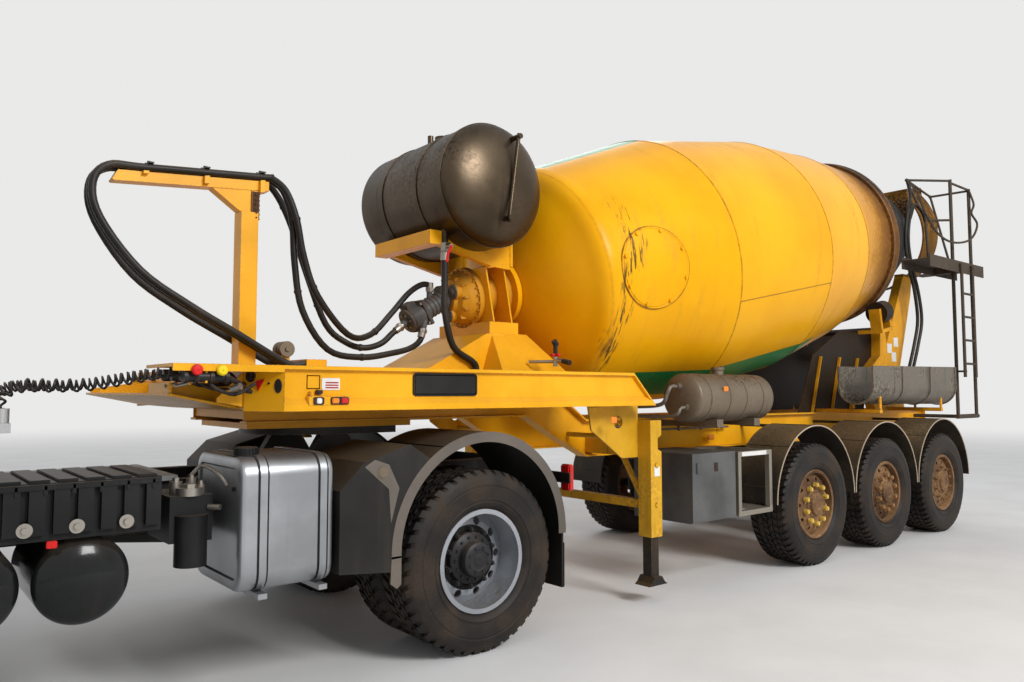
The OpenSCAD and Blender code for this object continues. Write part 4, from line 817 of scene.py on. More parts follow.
def trailer_rim(place):
    """Flat steel disc nearly flush with the tyre, its nuts and the ribbed hub."""
    form = Form()
    bead = (WIDE_W - WIDE_SEAT) / 2
    lip = [(0.273, bead - 0.01), (0.278, bead - 0.013), (0.296, bead - 0.013), (0.3, bead - 0.009),
           (0.3, bead - 0.0005), (0.2858, bead - 0.0005)]
    inner = [(r, WIDE_W - d) for r, d in reversed(lip)]
    form.revolve([(r, -d) for r, d in lip + inner], place, 80)

    def dish(r):
        if r > 0.225:
            return 0.064 + (r - 0.225) / 0.048 * 0.026
        return 0.05 + max(0.0, (r - 0.165) / 0.06) * 0.014

    holed_disc(form, place, dish, 0.012, 0.185, 0.248, 0.218, 0.02, 10)
    form.revolve([(0.248, -dish(0.248)), (0.273, -0.09), (0.273, -0.104), (0.248, -dish(0.248) - 0.012)], place, 80)
    form.revolve([(0.186, -dish(0.185)), (0.165, -0.05), (0.092, -0.05), (0.092, -0.064), (0.165, -0.064),
                  (0.186, -dish(0.185) - 0.012)], place, 80)
    wheel_nuts(form, place, 0.05, 0.024)
    form.revolve([(0.118, -0.052), (0.118, -0.042), (0.11, -0.036), (0.098, -0.034), (0.094, -0.012), (0.078, -0.004),
                  (0.05, -0.001), (0.046, -0.006), (0.002, -0.006), (0.002, -0.052)], place, 56)
    for a in around(20):
        arc_block(form, place, [(0.048, 0.0035), (0.082, 0.004), (0.104, 0.032), (0.104, 0.04), (0.048, 0.04)],
                  a - 0.035, a + 0.035)
    return form


def nut_pointers(place, turns):
    """Plastic caps with a pointer, pushed on the wheel nuts."""
    form = Form()
    for k, a in enumerate(around(NUTS, 0.5)):
        seat = nut_seat(place, a, 0.046)
        form.disk(seat, 0.022, 0.0, 0.033, 12)
        form.disk(seat, 0.017, 0.033, 0.041, 12)
        b = a + turns[k % len(turns)]
        arrow = [seat @ Vector((r * math.cos(b + off), r * math.sin(b + off), 0.006))
                 for r, off in ((0.013, 1.4), (0.04, 0.0), (0.013, -1.4))]
        form.prism(arrow, place.to_3x3() @ Vector((0, 0, 0.01)))
    return form


def wheels():
    for side, letter in SIDES:
        place = wheel_place(3.65, STEER_FACE, side)
        form = Form()
        tyre_form(form, place, TYRE_W, SEAT_W, 48, 3)
        add(form, f"steer_tyre_{letter}", f"front_wheel_{letter}", "tyre", replaces=f"front_tyre_{letter}")
        form = Form()
        wheel_nuts(form, place, 0.04, 0.028)
        add(form, f"steer_nuts_{letter}", f"front_wheel_{letter}", "rim_silver")

        place = wheel_place(0, OUTER_Y, side)
        form = Form()
        for step in (0, TWIN_STEP):
            tyre_form(form, wheel_place(0, OUTER_Y - step, side), TYRE_W, SEAT_W, 44, 3)
        add(form, f"twin_tyres_{letter}", f"drive_wheels_{letter}", "tyre", replaces=f"drive_tyres_{letter}")
        form = Form()
        form.revolve([
            (0.002, -0.06), (0.03, -0.06), (0.034, -0.064), (0.056, -0.064), (0.06, -0.06), (0.084, -0.062),
            (0.098, -0.07), (0.102, -0.082), (0.102, -0.118), (0.108, -0.126), (0.14, -0.136), (0.15, -0.142),
            (0.153, -0.15), (0.153, -0.172), (0.002, -0.172)], place, 72)
        for count, shift, r, z, size, top in ((14, 0.0, 0.125, -0.134, 0.0085, 0.012),
                                             (8, 0.5, 0.072, -0.063, 0.007, 0.01)):
            for a in around(count, shift):
                form.disk(shifted(place, r * math.cos(a), r * math.sin(a), z), size, 0, top, 6)
        wheel_nuts(form, place, 0.17, 0.03)
        add(form, f"drive_hub_{letter}", f"drive_wheels_{letter}", "axle_black", "hub_black")

        for k, x in enumerate(AXLES):
            place = wheel_place(x, OUTER_Y, side)
            node = f"trailer_wheel_{k + 1}{letter}"
            form = Form()
            tyre_form(form, place, WIDE_W, WIDE_SEAT, 52, 4)
            add(form, f"wide_tyre_{k + 1}{letter}", node, "tyre", replaces=node)
            add(trailer_rim(place), f"wide_rim_{k + 1}{letter}", node, "rim_silver", "rim_rust", replaces=node)
            if k < 2:
                turns = (1.4, -1.5, 1.7, -1.3, 1.5) if k == 0 else (0.4, 2.0, -1.1, 3.0, -2.2)
                add(nut_pointers(place, turns), f"nut_pointers_{k + 1}{letter}", node, "yellow_paint",
                    "pointer_yellow" if k == 0 else "pointer_brown")


# Drum: hatch, its bolts and the raised welds on the shell

def on_hatch(r, a, lift, stretch=1.0):
    """A point on the drum by its distance and angle from the hatch's middle."""
    t = HATCH[0] + stretch * r * math.cos(a)
    return on_shell(t, HATCH[1] + math.degrees(r * math.sin(a) / shell_radius(t)), lift)


def drum_fittings():
    rings = [(0.1, 0.01), (0.2, 0.01), (0.285, 0.01), (0.3, 0.009), (0.304, 0.004), (0.308, 0.004),
             (0.312, 0.008), (HATCH[2], 0.008), (HATCH[2] + 0.003, -0.006)]
    steps = 72
    faces = [(0, 1 + k, 1 + (k + 1) % steps) for k in range(steps)]
    faces += [tuple(1 + k for k in face) for face in ring_faces(steps, len(rings))]
    form = Form()
    form.add([on_hatch(0, 0, 0.01)] + [on_hatch(r, a, lift, 0.98) for r, lift in rings for a in around(steps)], faces)
    for a in around(8, 0.5):
        spot = on_hatch(0.29, a, 0.006)
        out = (on_hatch(0.29, a, 0.1) - spot).normalized()
        form.bar(spot, spot + 0.016 * out, 0.015, 6)
    add(form, "drum_hatch", "drum", "drum_paint", sharp=40)

    form = Form()
    for seam in SEAMS:
        r = shell_radius(seam)
        form.revolve([(r - 0.004, seam - 0.007), (r + 0.0025, seam - 0.004), (r + 0.0035, seam),
                      (r + 0.0025, seam + 0.004), (r - 0.004, seam + 0.007)], DRUM, 160)
    for first, last, turn in ((1.424, 2.9, WELD_TURN), (0.13, 1.42, -60.0), (2.9, 3.86, -140.0)):
        path = [on_shell(first + (last - first) * k / 30, turn, 0.0008 * math.sin(k * 1.9)) for k in range(31)]
        form.sweep(path, 0.005, 6)
    add(form, "drum_welds", "drum", "drum_paint")
    ring = [(0.938, 4.7), (0.962, 4.694), (0.9665, 4.7), (0.9665, 4.716), (0.958, 4.722), (0.958, 4.798),
            (0.9665, 4.804), (0.9665, 4.82), (0.962, 4.826), (0.938, 4.82)]
    add([turned(DRUM, ring, 160)], "track_ring_lips", "drum", "roller_steel", "ring_steel")


def drum_skin():
    """The dished front of the drum as one smooth form, just proud of its plates."""
    line = smooth_path([(t, r, 0) for t, r in ((-0.15, 0.235),) + SHELL[:5] + ((0.33, 0.984),)], 7)
    rows = [(max(0.02, q.y + 0.003), q.x - 0.003) for q in line if -0.15 <= q.x <= 0.24]
    rows.append((rows[-1][0] - 0.01, rows[-1][1] + 0.004))
    form = Form()
    form.revolve(rows, DRUM, 128, closed=False)
    add(form, "drum_dish_skin", "drum", "drum_paint", sharp=40)


# Fittings of the tractor

def rounded_rect(centre, half, radius, inset=0.0, steps=6):
    """Corner-rounded outline in Y and Z as a list of pairs."""
    line = []
    r = max(0.004, radius - inset)
    for k, (sy, sz) in enumerate(((1, 1), (-1, 1), (-1, -1), (1, -1))):
        for i in range(steps + 1):
            a = math.pi / 2 * (k + i / steps)
            line.append((centre[0] + sy * (half[0] - inset - r) + r * math.cos(a),
                         centre[1] + sz * (half[1] - inset - r) + r * math.sin(a)))
    return line


TANK_X = (0.96, 1.44)
TANK_SECTION = ((0.8875, 0.8825), (0.3275, 0.3225), 0.095)
STRAP_X = (1.02, 1.33)


def fuel_tank():
    """Brushed tank with rolled edges and a pressed end, its straps on rubber and a ribbed cap."""
    def ring(x, inset):
        return [at(x, y, z) for y, z in rounded_rect(*TANK_SECTION, inset)]

    rear, front = TANK_X
    edge = ((0.0, 0.026), (0.003, 0.014), (0.01, 0.005), (0.02, 0.001), (0.03, 0.0))
    press = ((0.004, 0.1), (-0.002, 0.092), (-0.002, 0.062), (0.0, 0.055))
    dish = ((0.0, 0.055), (0.009, 0.064), (0.009, 0.14))
    form = Form()
    form.loft([ring(rear + d, inset) for d, inset in press + edge]
              + [ring(front - d, inset) for d, inset in edge[::-1] + dish])
    for x in (1.06, 1.29):
        form.put(block(x, 0.4, 0.8, x + 0.04, 0.566, 0.88))
    add(form, "fuel_tank_shell", "tractor", "tank_aluminium", replaces="fuel_tank", sharp=28)
    straps = Form()
    dark = Form()
    for x in STRAP_X:
        for band, half, lift in ((straps, 0.018, -0.006), (dark, 0.027, -0.003)):
            band.loft([ring(x - half, 0.001), ring(x - half, lift), ring(x + half, lift), ring(x + half, 0.001)],
                      closed=True)
        straps.put(block(x - 0.022, 1.0, 0.53, x + 0.022, 1.226, 0.556))
    add(straps, "fuel_tank_straps", "tractor", "tank_aluminium")
    cap = facing("up", 1.37, 1.08, 1.198)
    dark.revolve([(0.002, 0.0), (0.06, 0.0), (0.062, 0.006), (0.056, 0.01), (0.056, 0.044), (0.05, 0.05),
                  (0.002, 0.05)], cap, 32)
    for a in around(20):
        dark.box((0.054, -0.004, 0.012), (0.06, 0.004, 0.044), cap @ Matrix.Rotation(a, 4, "Z"))
    dark.disk(facing("forward", 1.438, 1.12, 1.05), 0.012, 0, 0.01, 12)
    add(dark, "fuel_tank_rubbers", "tractor", "black_plastic")


def tractor_trim():
    """Lids and bolts of the battery box, filter head, mudguard trims and tail lamps."""
    form = Form()
    for x in (2.313, 2.123, 1.93, 2.56):
        face = facing("left", x, 1.18, 0.955)
        form.disk(face, 0.03, -0.004, 0.006, 20)
        form.disk(face, 0.014, 0.006, 0.02, 6)
    add(form, "battery_bolts", "tractor", "black_plastic", "fitting_metal")
    form = Form()
    for k in range(9):
        x = 1.8 + 0.105 * k
        form.put(block(x, 0.6, 1.139, x + 0.078, 1.148, 1.152))
        form.put(block(x + 0.014, 1.178, 1.09, x + 0.03, 1.186, 1.134))
    form.put(block(1.79, 1.148, 1.112, 2.75, 1.186, 1.136))
    add(form, "battery_lid_ribs", "tractor", "black_plastic", bevel=0.003)
    add([block(2.19, 1.15, 0.87, 2.23, 1.168, 0.9)], "battery_switch", "tractor", "black_plastic", "knob_red",
        bevel=0.003)
    form = Form()
    for x, y, r, top in ((1.6, 0.96, 0.062, 0.035), (1.64, 0.88, 0.03, 0.06), (1.56, 0.86, 0.024, 0.07),
                         (1.54, 0.94, 0.02, 0.045)):
        spot = facing("up", x, y, 1.02)
        form.disk(spot, r, -0.002, top, 20)
        form.disk(spot, r * 0.55, top, top + 0.018, 6)
    form.put(pipe(0.01, 8, 6, (1.56, 0.86, 1.105), (1.52, 0.9, 1.15), (1.48, 1.0, 1.12), (1.446, 1.05, 1.06)))
    form.put(rod((1.52, 1.002, 0.96), (1.48, 1.05, 0.96), 0.014))
    add(form, "filter_head", "tractor", "black_plastic", "fitting_metal")

    for side, letter in SIDES:
        face = side * 1.2425
        out = (0, -side * 0.003, 0)
        form = Form()
        form.arc_strip((DRIVE_X, 0.65), (0.574, 0.634), (side * 1.2395, face), -2, 182, 64)
        for line in (((0.574, 0.64), (0.634, 0.64), (0.64, 0.5), (0.6, 0.47), (0.574, 0.49)),
                     ((0.655, 1.0), (0.8, 1.125), (0.74, 1.16), (0.655, 1.13), (0.59, 1.0), (0.64, 0.82))):
            form.prism([at(x, face, z) for x, z in line], out)
        add(form, f"drive_guard_band_{letter}", "tractor", "mudguard_plastic", "pale_guard")
        reflector = [(0.002, 0.006), (0.026, 0.006), (0.03, 0.003), (0.034, 0.003), (0.036, -0.002), (0.002, -0.002)]
        add([turned(facing(OUTWARD[side], 0.69, face, 1.09), reflector, 28)], f"drive_guard_reflector_{letter}",
            "tractor", "mudguard_plastic", "side_tank_metal")
        form = Form()
        for a in (18, 62, 118, 160):
            x, z = polar(0.6335, a, 0, 0.65)
            form.put(rod((x, side * 0.61, z), (x, side * 1.236, z), 0.005, 8))
        form.put(block(-0.64, side * 0.66, 0.285, -0.646, side * 1.215, 0.56))
        add(form, f"drive_guard_ribs_{letter}", "tractor", "mudguard_plastic")
        add([block(-0.8, side * 1.06, 0.87, -0.752, side * 1.15, 1.04)], f"tail_lamp_{letter}", "tractor", "lamp",
            "lamp_red", bevel=0.01)
        add([block(-0.752, side * 0.38, 0.92, -0.74, side * 1.165, 0.99),
             block(-0.882, side * 0.38, 0.92, -0.74, side * 0.396, 0.99)],
            f"tail_lamp_bracket_{letter}", "tractor", "chassis", bevel=0.002)


# Fittings of the trailer

CORNER_A = (1.36, 1.01)
CORNER_B = (1.23, 1.2)


def on_corner(share, z):
    """A matrix on the box nose's slanted side, its Z axis pointing out and its Y axis up."""
    dx = CORNER_B[0] - CORNER_A[0]
    dy = CORNER_B[1] - CORNER_A[1]
    span = math.hypot(dx, dy)
    spot = at(CORNER_A[0] + share * dx, CORNER_A[1] + share * dy, z)
    return Matrix((
        (-dx / span, 0, dy / span, spot.x), (-dy / span, 0, -dx / span, spot.y), (0, 1, 0, spot.z), (0, 0, 0, 1)))


def oval(form, place, half_w, half_h, low, high, sides=28):
    form.prism([place @ Vector((half_w * math.cos(a), half_h * math.sin(a), low)) for a in around(sides)],
               place.to_3x3() @ Vector((0, 0, high - low)))


def beam_plate(x0, z0, x1, z1, out=0.004, corner=0.008):
    """A flat plate with rounded corners on the beam's recessed side, given in X and Z."""
    line = rounded_rect(((x0 + x1) / 2, (z0 + z1) / 2), ((x1 - x0) / 2, (z1 - z0) / 2), corner, 0.0, 4)
    return lambda form: form.prism([at(x, 1.174, z) for x, z in line], (0, out + 0.001, 0))


def beam_labels():
    """Blank name plate and label of the neck beam, its side lamps, and the plugs of the box nose."""
    add([beam_plate(0.024, 1.493, 0.471, 1.624, 0.007, 0.022)], "blank_nameplate", "trailer", "yellow_paint",
        "nameplate_black", bevel=0.0015)
    add([beam_plate(0.036, z, 0.459, z + 0.004, 0.0085, 0.001) for z in (1.503, 1.61)]
        + [beam_plate(x, 1.503, x + 0.004, 1.614, 0.0085, 0.001) for x in (0.036, 0.455)]
        + [beam_plate(x, 1.533, x + 0.004, 1.603, 0.003, 0.001) for x in (1.029, 1.098)]
        + [beam_plate(1.029, z, 1.102, z + 0.004, 0.003, 0.001) for z in (1.533, 1.599)],
        "nameplate_rim", "trailer", "yellow_paint")
    add([beam_plate(0.917, 1.528, 1.019, 1.589, 0.003)], "blank_label", "trailer", "yellow_paint", "label_white")
    add([beam_plate(0.925, z, 1.0, z + 0.007, 0.004, 0.001) for z in (1.536, 1.549, 1.562)], "label_stripes",
        "trailer", "yellow_paint", "label_red")
    add([block(0.87, 1.17, 1.446, 1.105, 1.203, 1.498), block(1.085, 1.17, 1.498, 1.094, 1.203, 1.52)],
        "side_lamp_bracket", "trailer", "yellow_paint", bevel=0.004)
    add([block(x - half, 1.2, 1.452, x + half, 1.212, 1.492) for x, half in ((1.048, 0.03), (0.93, 0.052))]
        + [block(1.02, 1.17, 1.505, 1.056, 1.2, 1.528)],
        "side_lamp_housings", "trailer", "yellow_paint", "fitting_black", bevel=0.005)
    for look, x, half in (("lamp_white", 1.048, 0.014), ("lamp_amber", 0.958, 0.02), ("lamp_red", 0.906, 0.02)):
        add([block(x - half, 1.21, 1.458, x + half, 1.219, 1.486)], f"side_{look}", "trailer", "lamp", look,
            bevel=0.004)

    form = Form()
    for share, z, half_w, half_h, low, high, sides in (
            (0.17, 1.597, 0.026, 0.031, -0.002, 0.01, 28), (0.17, 1.597, 0.015, 0.019, 0.01, 0.022, 28),
            (0.85, 1.547, 0.021, 0.036, -0.002, 0.003, 28), (0.62, 1.56, 0.006, 0.006, -0.002, 0.006, 10)):
        oval(form, on_corner(share, z), half_w, half_h, low, high, sides)
    form.prism([at(x, 0.9965, z) for x, z in ((1.44, 1.5), (1.4, 1.53), (1.395, 1.495))], (0, 0.003, 0))
    add(form, "nose_plugs", "trailer", "yellow_paint", "fitting_black")
    form = Form()
    place = on_corner(0.38, 1.557)
    form.prism([place @ Vector(q) for q in ((-0.03, 0.026, 0), (0.022, 0.014, 0), (0.004, -0.034, 0))],
               place.to_3x3() @ Vector((0, 0, 0.006)))
    add(form, "nose_tag", "trailer", "yellow_paint", "knob_red")


def nose_couplings():
    """Air and electric couplings under the wing, their pipes to the box and the coloured caps."""
    cap = [(0.002, 0.0), (0.022, 0.0), (0.026, 0.004), (0.026, 0.016), (0.02, 0.024), (0.002, 0.026)]
    for k, (look, x) in enumerate((("knob_red", 1.655), ("knob_yellow", 1.54))):
        add([turned(facing("left", x, 1.199, 1.62), cap, 24)], f"coupling_cap_{k + 1}", "trailer", "yellow_paint",
            look)
    form = Form()
    end = 1.35
    for k, y in enumerate(COIL_Y):
        dip = 0.022 * (k + 1)
        for x0, x1, r, sides in ((1.66, 1.6985, 0.03, 8), (1.612, 1.64, 0.034, 20), (1.56, 1.598, 0.026, 6),
                                 (1.5, 1.56, 0.03, 20)):
            form.put(rod((x0, y, 1.6), (x1, y, 1.6), r, sides))
        form.disk(facing("up", 1.53, y, 1.6), 0.02, 0.018, 0.036, 16)
        form.put(pipe(0.012, 10, 5, (1.505, y, 1.6), (1.46, y, 1.6), (1.42, y + 0.02, 1.6 - dip),
                      (1.385, y - 0.01, 1.59 - dip), (end, y - 0.02, 1.585 - dip)),
                 pipe(0.009, 10, 5, (1.6, y + 0.045, 1.585), (1.54, y + 0.05, 1.562 - dip / 2),
                      (1.44, y + 0.03, 1.575 - dip), (end, y + 0.03, 1.56)))
    form.put(rod((1.5, 1.165, 1.588), (1.7, 1.165, 1.588), 0.024, 16))
    for x in (1.5, 1.57, 1.64, 1.69):
        form.put(rod((x, 1.165, 1.588), (x + 0.016, 1.165, 1.588), 0.032, 16))
    form.put(pipe(0.013, 10, 5, (1.5, 1.165, 1.588), (1.44, 1.15, 1.56), (1.4, 1.1, 1.54), (1.352, 0.985, 1.56)))
    add(form, "nose_couplings", "trailer", "hose_rubber", "fitting_black")
    add([block(1.596, 0.8, 1.635, 1.62, 1.18, 1.64)]
        + [rod((1.64, y, 1.56), (1.7, y, 1.545), 0.008, 8) for y in (0.86, 1.03)]
        + [rod((1.47, 1.14, 1.53), (1.44, 1.18, 1.545), 0.018, 14)],
        "coupling_fittings", "trailer", "yellow_paint", "fitting_metal")


def mast_fittings():
    """Saddles and ties on the hoses, the double roller's sleeves and the rusty hinge of the arm."""
    form = Form()
    for x in (0.915, 1.265, 1.59):
        top = 2.836 + 0.0914 * (1.6 - x) + 0.0225
        form.put(block(x - 0.016, -0.08, top, x + 0.016, 0.08, top + 0.008))
        for y in (0.024, -0.024):
            form.disk(facing("up", x, y, top), 0.011, 0.006, 0.022, 6)
    for route, spots in zip(MAST_HOSE_ROUTES, ((0.6, 0.68, 0.8), (0.6, 0.72, 0.84), (0.58, 0.66, 0.78))):
        path = route_path(route)
        for share in spots:
            i = int(share * (len(path) - 1))
            ahead = (path[i + 1] - path[i]).normalized()
            form.bar(path[i] - 0.009 * ahead, path[i] + 0.009 * ahead, MAST_HOSE_R + 0.004, 14)
    add(form, "hose_ties", "trailer", "hose_rubber", "fitting_black")
    form = Form()
    for y0, y1 in ((-0.062, -0.012), (0.012, 0.062)):
        wide = y1 - y0
        form.revolve([(0.002, 0.0), (0.05, 0.0), (0.052, 0.004), (0.046, 0.008), (0.046, wide - 0.008),
                      (0.052, wide - 0.004), (0.05, wide), (0.002, wide)], facing("left", 0.725, y0, 1.795), 32)
    form.put(rod((0.725, -0.075, 1.795), (0.725, 0.075, 1.795), 0.016))
    add(form, "roller_sleeves", "trailer", "yellow_paint", "side_tank_metal")
    form = Form()
    form.put(block(0.926, -0.053, 2.612, 0.978, 0.053, 2.8))
    for k in range(6):
        z = 2.628 + 0.03 * k
        form.put(rod((0.95, 0.05, z), (0.95, 0.062, z), 0.011, 6))
        form.put(rod((0.922, 0.02, z), (0.914, 0.02, z), 0.011, 6))
    add(form, "arm_hinge", "trailer", "yellow_paint", "rusty_block", bevel=0.004)


def trailer_trim():
    """Piping of the rear mudguards, latch and labels of the boxes, and the landing leg's bolts."""
    for side, letter in SIDES:
        form = Form()
        ribs = Form()
        for x in AXLES:
            form.arc_strip((x + DRIVE_X, 0.58), (0.634, 0.645), (side * 1.2252, side * 1.23), 0, 180, 56)
            for a in (12, 47, 85, 125, 168):
                rib_x, z = polar(0.6455, a, x, 0.58)
                ribs.put(rod((rib_x, side * 0.812, z), (rib_x, side * 1.222, z), 0.004, 8))
        add(form, f"guard_edges_{letter}", "trailer", "mudguard_dirty", "guard_edge")
        add(ribs, f"guard_ribs_{letter}", "trailer", "mudguard_dirty")
    add([block(-2.285, 1.196, 0.905, -2.235, 1.203, 0.975),
         disc(facing("left", -2.26, 1.2, 0.945), 0.012, 0, 0.01, 14)],
        "box_latch", "tool_box_door", "box_steel", "fitting_black", bevel=0.002)
    add([block(-2.94, 1.199, 1.003, -2.6, 1.2025, 1.036), block(-1.668, 1.139, 0.905, -1.608, 1.1425, 0.975)],
        "blank_stickers", "trailer", "box_steel", "label_white")
    add([rod((-1.632, 1.141, 0.985), (-1.632, 1.15, 0.985), 0.02, 6),
         rod((-1.63, 1.136, 0.7), (-1.63, 1.15, 0.7), 0.016)], "leg_bolts", "trailer", "yellow_paint", "leg_paint")


MOTOR_LEAN = math.atan2(0.133, 0.225)
MOTOR = facing("up", -0.335, 0, 2.102) @ Matrix((
    (math.sin(MOTOR_LEAN), 0, math.cos(MOTOR_LEAN), 0), (0, -1, 0, 0),
    (math.cos(MOTOR_LEAN), 0, -math.sin(MOTOR_LEAN), 0), (0, 0, 0, 1)))


def gearbox_fittings():
    """The hydraulic motor's flange, ribs, ports and hose ends, and the gearbox's bosses and bolts."""
    form = Form()
    form.box((-0.098, -0.098, -0.014), (0.098, 0.098, 0.014), MOTOR)
    form.box((0.06, -0.052, 0.04), (0.118, 0.052, 0.118), MOTOR)
    form.box((-0.105, -0.046, 0.036), (-0.06, 0.046, 0.112), MOTOR)
    form.revolve([(0.002, 0.141), (0.066, 0.141), (0.076, 0.133), (0.094, 0.125), (0.094, 0.112), (0.002, 0.112)],
                 MOTOR, 32)
    for k in range(5):
        z = -0.065 - 0.036 * k
        form.revolve([(0.07, z), (0.08, z + 0.003), (0.08, z + 0.009), (0.07, z + 0.012)], MOTOR, 32)
    add(form, "motor_housing", "trailer", "gearbox_paint", "motor_grey", bevel=0.004)
    form = Form()
    for x in (-0.078, 0.078):
        for y in (-0.078, 0.078):
            form.disk(shifted(MOTOR, x, y, 0.013), 0.014, 0, 0.014, 6)
    for k in range(6):
        form.disk(shifted(MOTOR, *polar(0.052, 60 * k + 30), 0.14), 0.009, 0, 0.01, 6)
    for route in MAST_HOSE_ROUTES:
        end, before = (at(*(c / 1000 for c in point)) for point in (route[-1], route[-2]))
        back = (before - end).normalized()
        form.bar(end + 0.004 * back, end + 0.072 * back, 0.028, 18)
        form.bar(end + 0.012 * back, end + 0.034 * back, 0.034, 6)
    add(form, "motor_fittings", "trailer", "gearbox_paint", "fitting_metal")
    form = Form()
    for turn in (62, 182, 302):
        spot = shifted(DRUM, *polar(0.115, turn), -0.672) @ Matrix.Rotation(math.pi, 4, "X")
        form.revolve([(0.002, -0.02), (0.058, -0.02), (0.058, 0.03), (0.05, 0.038), (0.03, 0.038), (0.026, 0.05),
                      (0.002, 0.05)], spot, 28)
        for k in range(4):
            form.disk(shifted(spot, *polar(0.044, 90 * k + turn), 0.036), 0.006, 0, 0.008, 6)
    for k in range(12):
        spot = shifted(DRUM, *polar(0.165, 30 * k), -0.64) @ Matrix.Rotation(math.radians(30 * k), 4, "Z")
        form.box((-0.03, -0.006, -0.018), (0.022, 0.006, 0.03), spot)
    add(form, "gearbox_bosses", "trailer", "gearbox_paint", bevel=0.002)


def water_fittings():
    """Valve under the water tank, level tube's unions, and the washing tap beside the stand."""
    add([rod((-0.286, 0.38, 2.44), (-0.286, 0.38, 2.5), 0.031, 18),
         rod((-0.286, 0.38, 2.505), (-0.286, 0.38, 2.565), 0.034, 6),
         rod((-0.286, 0.38, 2.535), (-0.286, 0.462, 2.535), 0.014),
         rod((-1.0, 0.75, 1.7), (-1.0, 0.75, 1.77), 0.017, 14),
         rod((-1.0, 0.75, 1.745), (-1.0, 0.83, 1.735), 0.015, 14),
         pipe(0.012, 10, 5, (-0.915, 0.56, 1.735), (-0.94, 0.64, 1.735), (-0.98, 0.7, 1.735), (-1.0, 0.75, 1.735))],
        "water_valves", "trailer", "water_tank_metal", "fitting_metal")
    add([pipe(0.009, 10, 5, (-0.286, 0.462, 2.535), (-0.262, 0.472, 2.5), (-0.246, 0.474, 2.465),
              (-0.24, 0.474, 2.415)),
         rod((-1.04, 0.75, 1.782), (-0.96, 0.75, 1.782), 0.011, 10),
         rod((-1.0, 0.71, 1.782), (-1.0, 0.79, 1.782), 0.011, 10)],
        "valve_levers", "trailer", "water_tank_metal", "knob_red")
    add([rod((-1.0, 0.83, 1.736), (-1.0, 0.9, 1.722), 0.019, 14),
         rod((-1.0, 0.75, 1.782), (-1.0, 0.75, 1.85), 0.016, 14),
         rod((-1.01, 0.75, 1.85), (-0.985, 0.75, 1.885), 0.022, 14)],
        "tap_nozzle", "trailer", "hose_rubber", "fitting_black")


CHUTE_LINE = (1.0, 1.572)


def rear_fittings():
    """The stored chute extension on its arms, the hoop by the ladder, blank plates and the hoses' unions."""
    def rings(section, *ends):
        return [[at(x, CHUTE_LINE[0] + share * y, CHUTE_LINE[1] + share * z) for y, z in section]
                for x, share in ends]

    outer = [(-0.196, 0.225)] + [polar(0.196, 180 + 7.5 * k) for k in range(25)] + [(0.196, 0.225)]
    inner = [(0.188, 0.225)] + [polar(0.188, 180 + 7.5 * k) for k in range(25)][::-1] + [(-0.188, 0.225)]
    form = Form()
    form.loft(rings(outer + inner, (-4.84, 0.9), (-6.745, 1.0)))
    band = [(1.055 * y, 1.055 * z if z < 0.2 else z) for y, z in outer] + outer[::-1]
    for x, share in ((-4.842, 0.9), (-5.46, 0.935), (-6.1, 0.967), (-6.73, 1.0)):
        form.loft(rings(band, (x, share), (x - 0.022, share)))
    add(form, "stored_chute", "trailer", "dirty_steel", "worn_steel")
    form = Form()
    for x in (-5.06, -6.48):
        form.put(block(x - 0.03, 0.455, 1.3005, x + 0.03, 1.15, 1.34))
        for y in (0.86, 1.14):
            form.put(block(x - 0.02, y - 0.008, 1.34, x + 0.02, y + 0.008, 1.47))
    add(form, "stored_chute_arms", "trailer", "yellow_paint", "crusted_yellow", bevel=0.003)
    add([pipe(0.013, 10, 6, (-6.43, 1.06, 3.56), (-6.706, 1.085, 3.344), (-7.086, 1.1, 3.285), (-7.561, 1.11, 3.379),
              (-7.79, 1.11, 3.589), (-7.652, 1.1, 3.716), (-7.84, 1.06, 3.864), (-7.835, 1.02, 4.023),
              (-7.85, 1.0, 4.062)),
         pipe(0.013, 10, 8, (-6.86, 0.69, 4.075), (-6.62, 0.9, 3.85), (-6.43, 1.06, 3.56))],
        "ladder_hoop", "trailer", "dirty_steel")
    add([block(x - 0.055, 0.5595, z - 0.055, x + 0.055, 0.5635, z + 0.055)
         for x, z in ((-6.535, 2.03), (-6.7, 2.11), (-6.64, 1.93))],
        "stand_labels", "trailer", "crusted_yellow", "label_white")
    form = Form()
    for x, z in ((-6.64, 1.47), (-6.74, 1.48)):
        form.put(rod((x, 0.559, z), (x, 0.612, z + 0.014), 0.026, 16))
        form.put(rod((x, 0.559, z), (x, 0.58, z), 0.034, 6))
    add(form, "rear_hose_unions", "trailer", "dirty_steel", "fitting_metal")


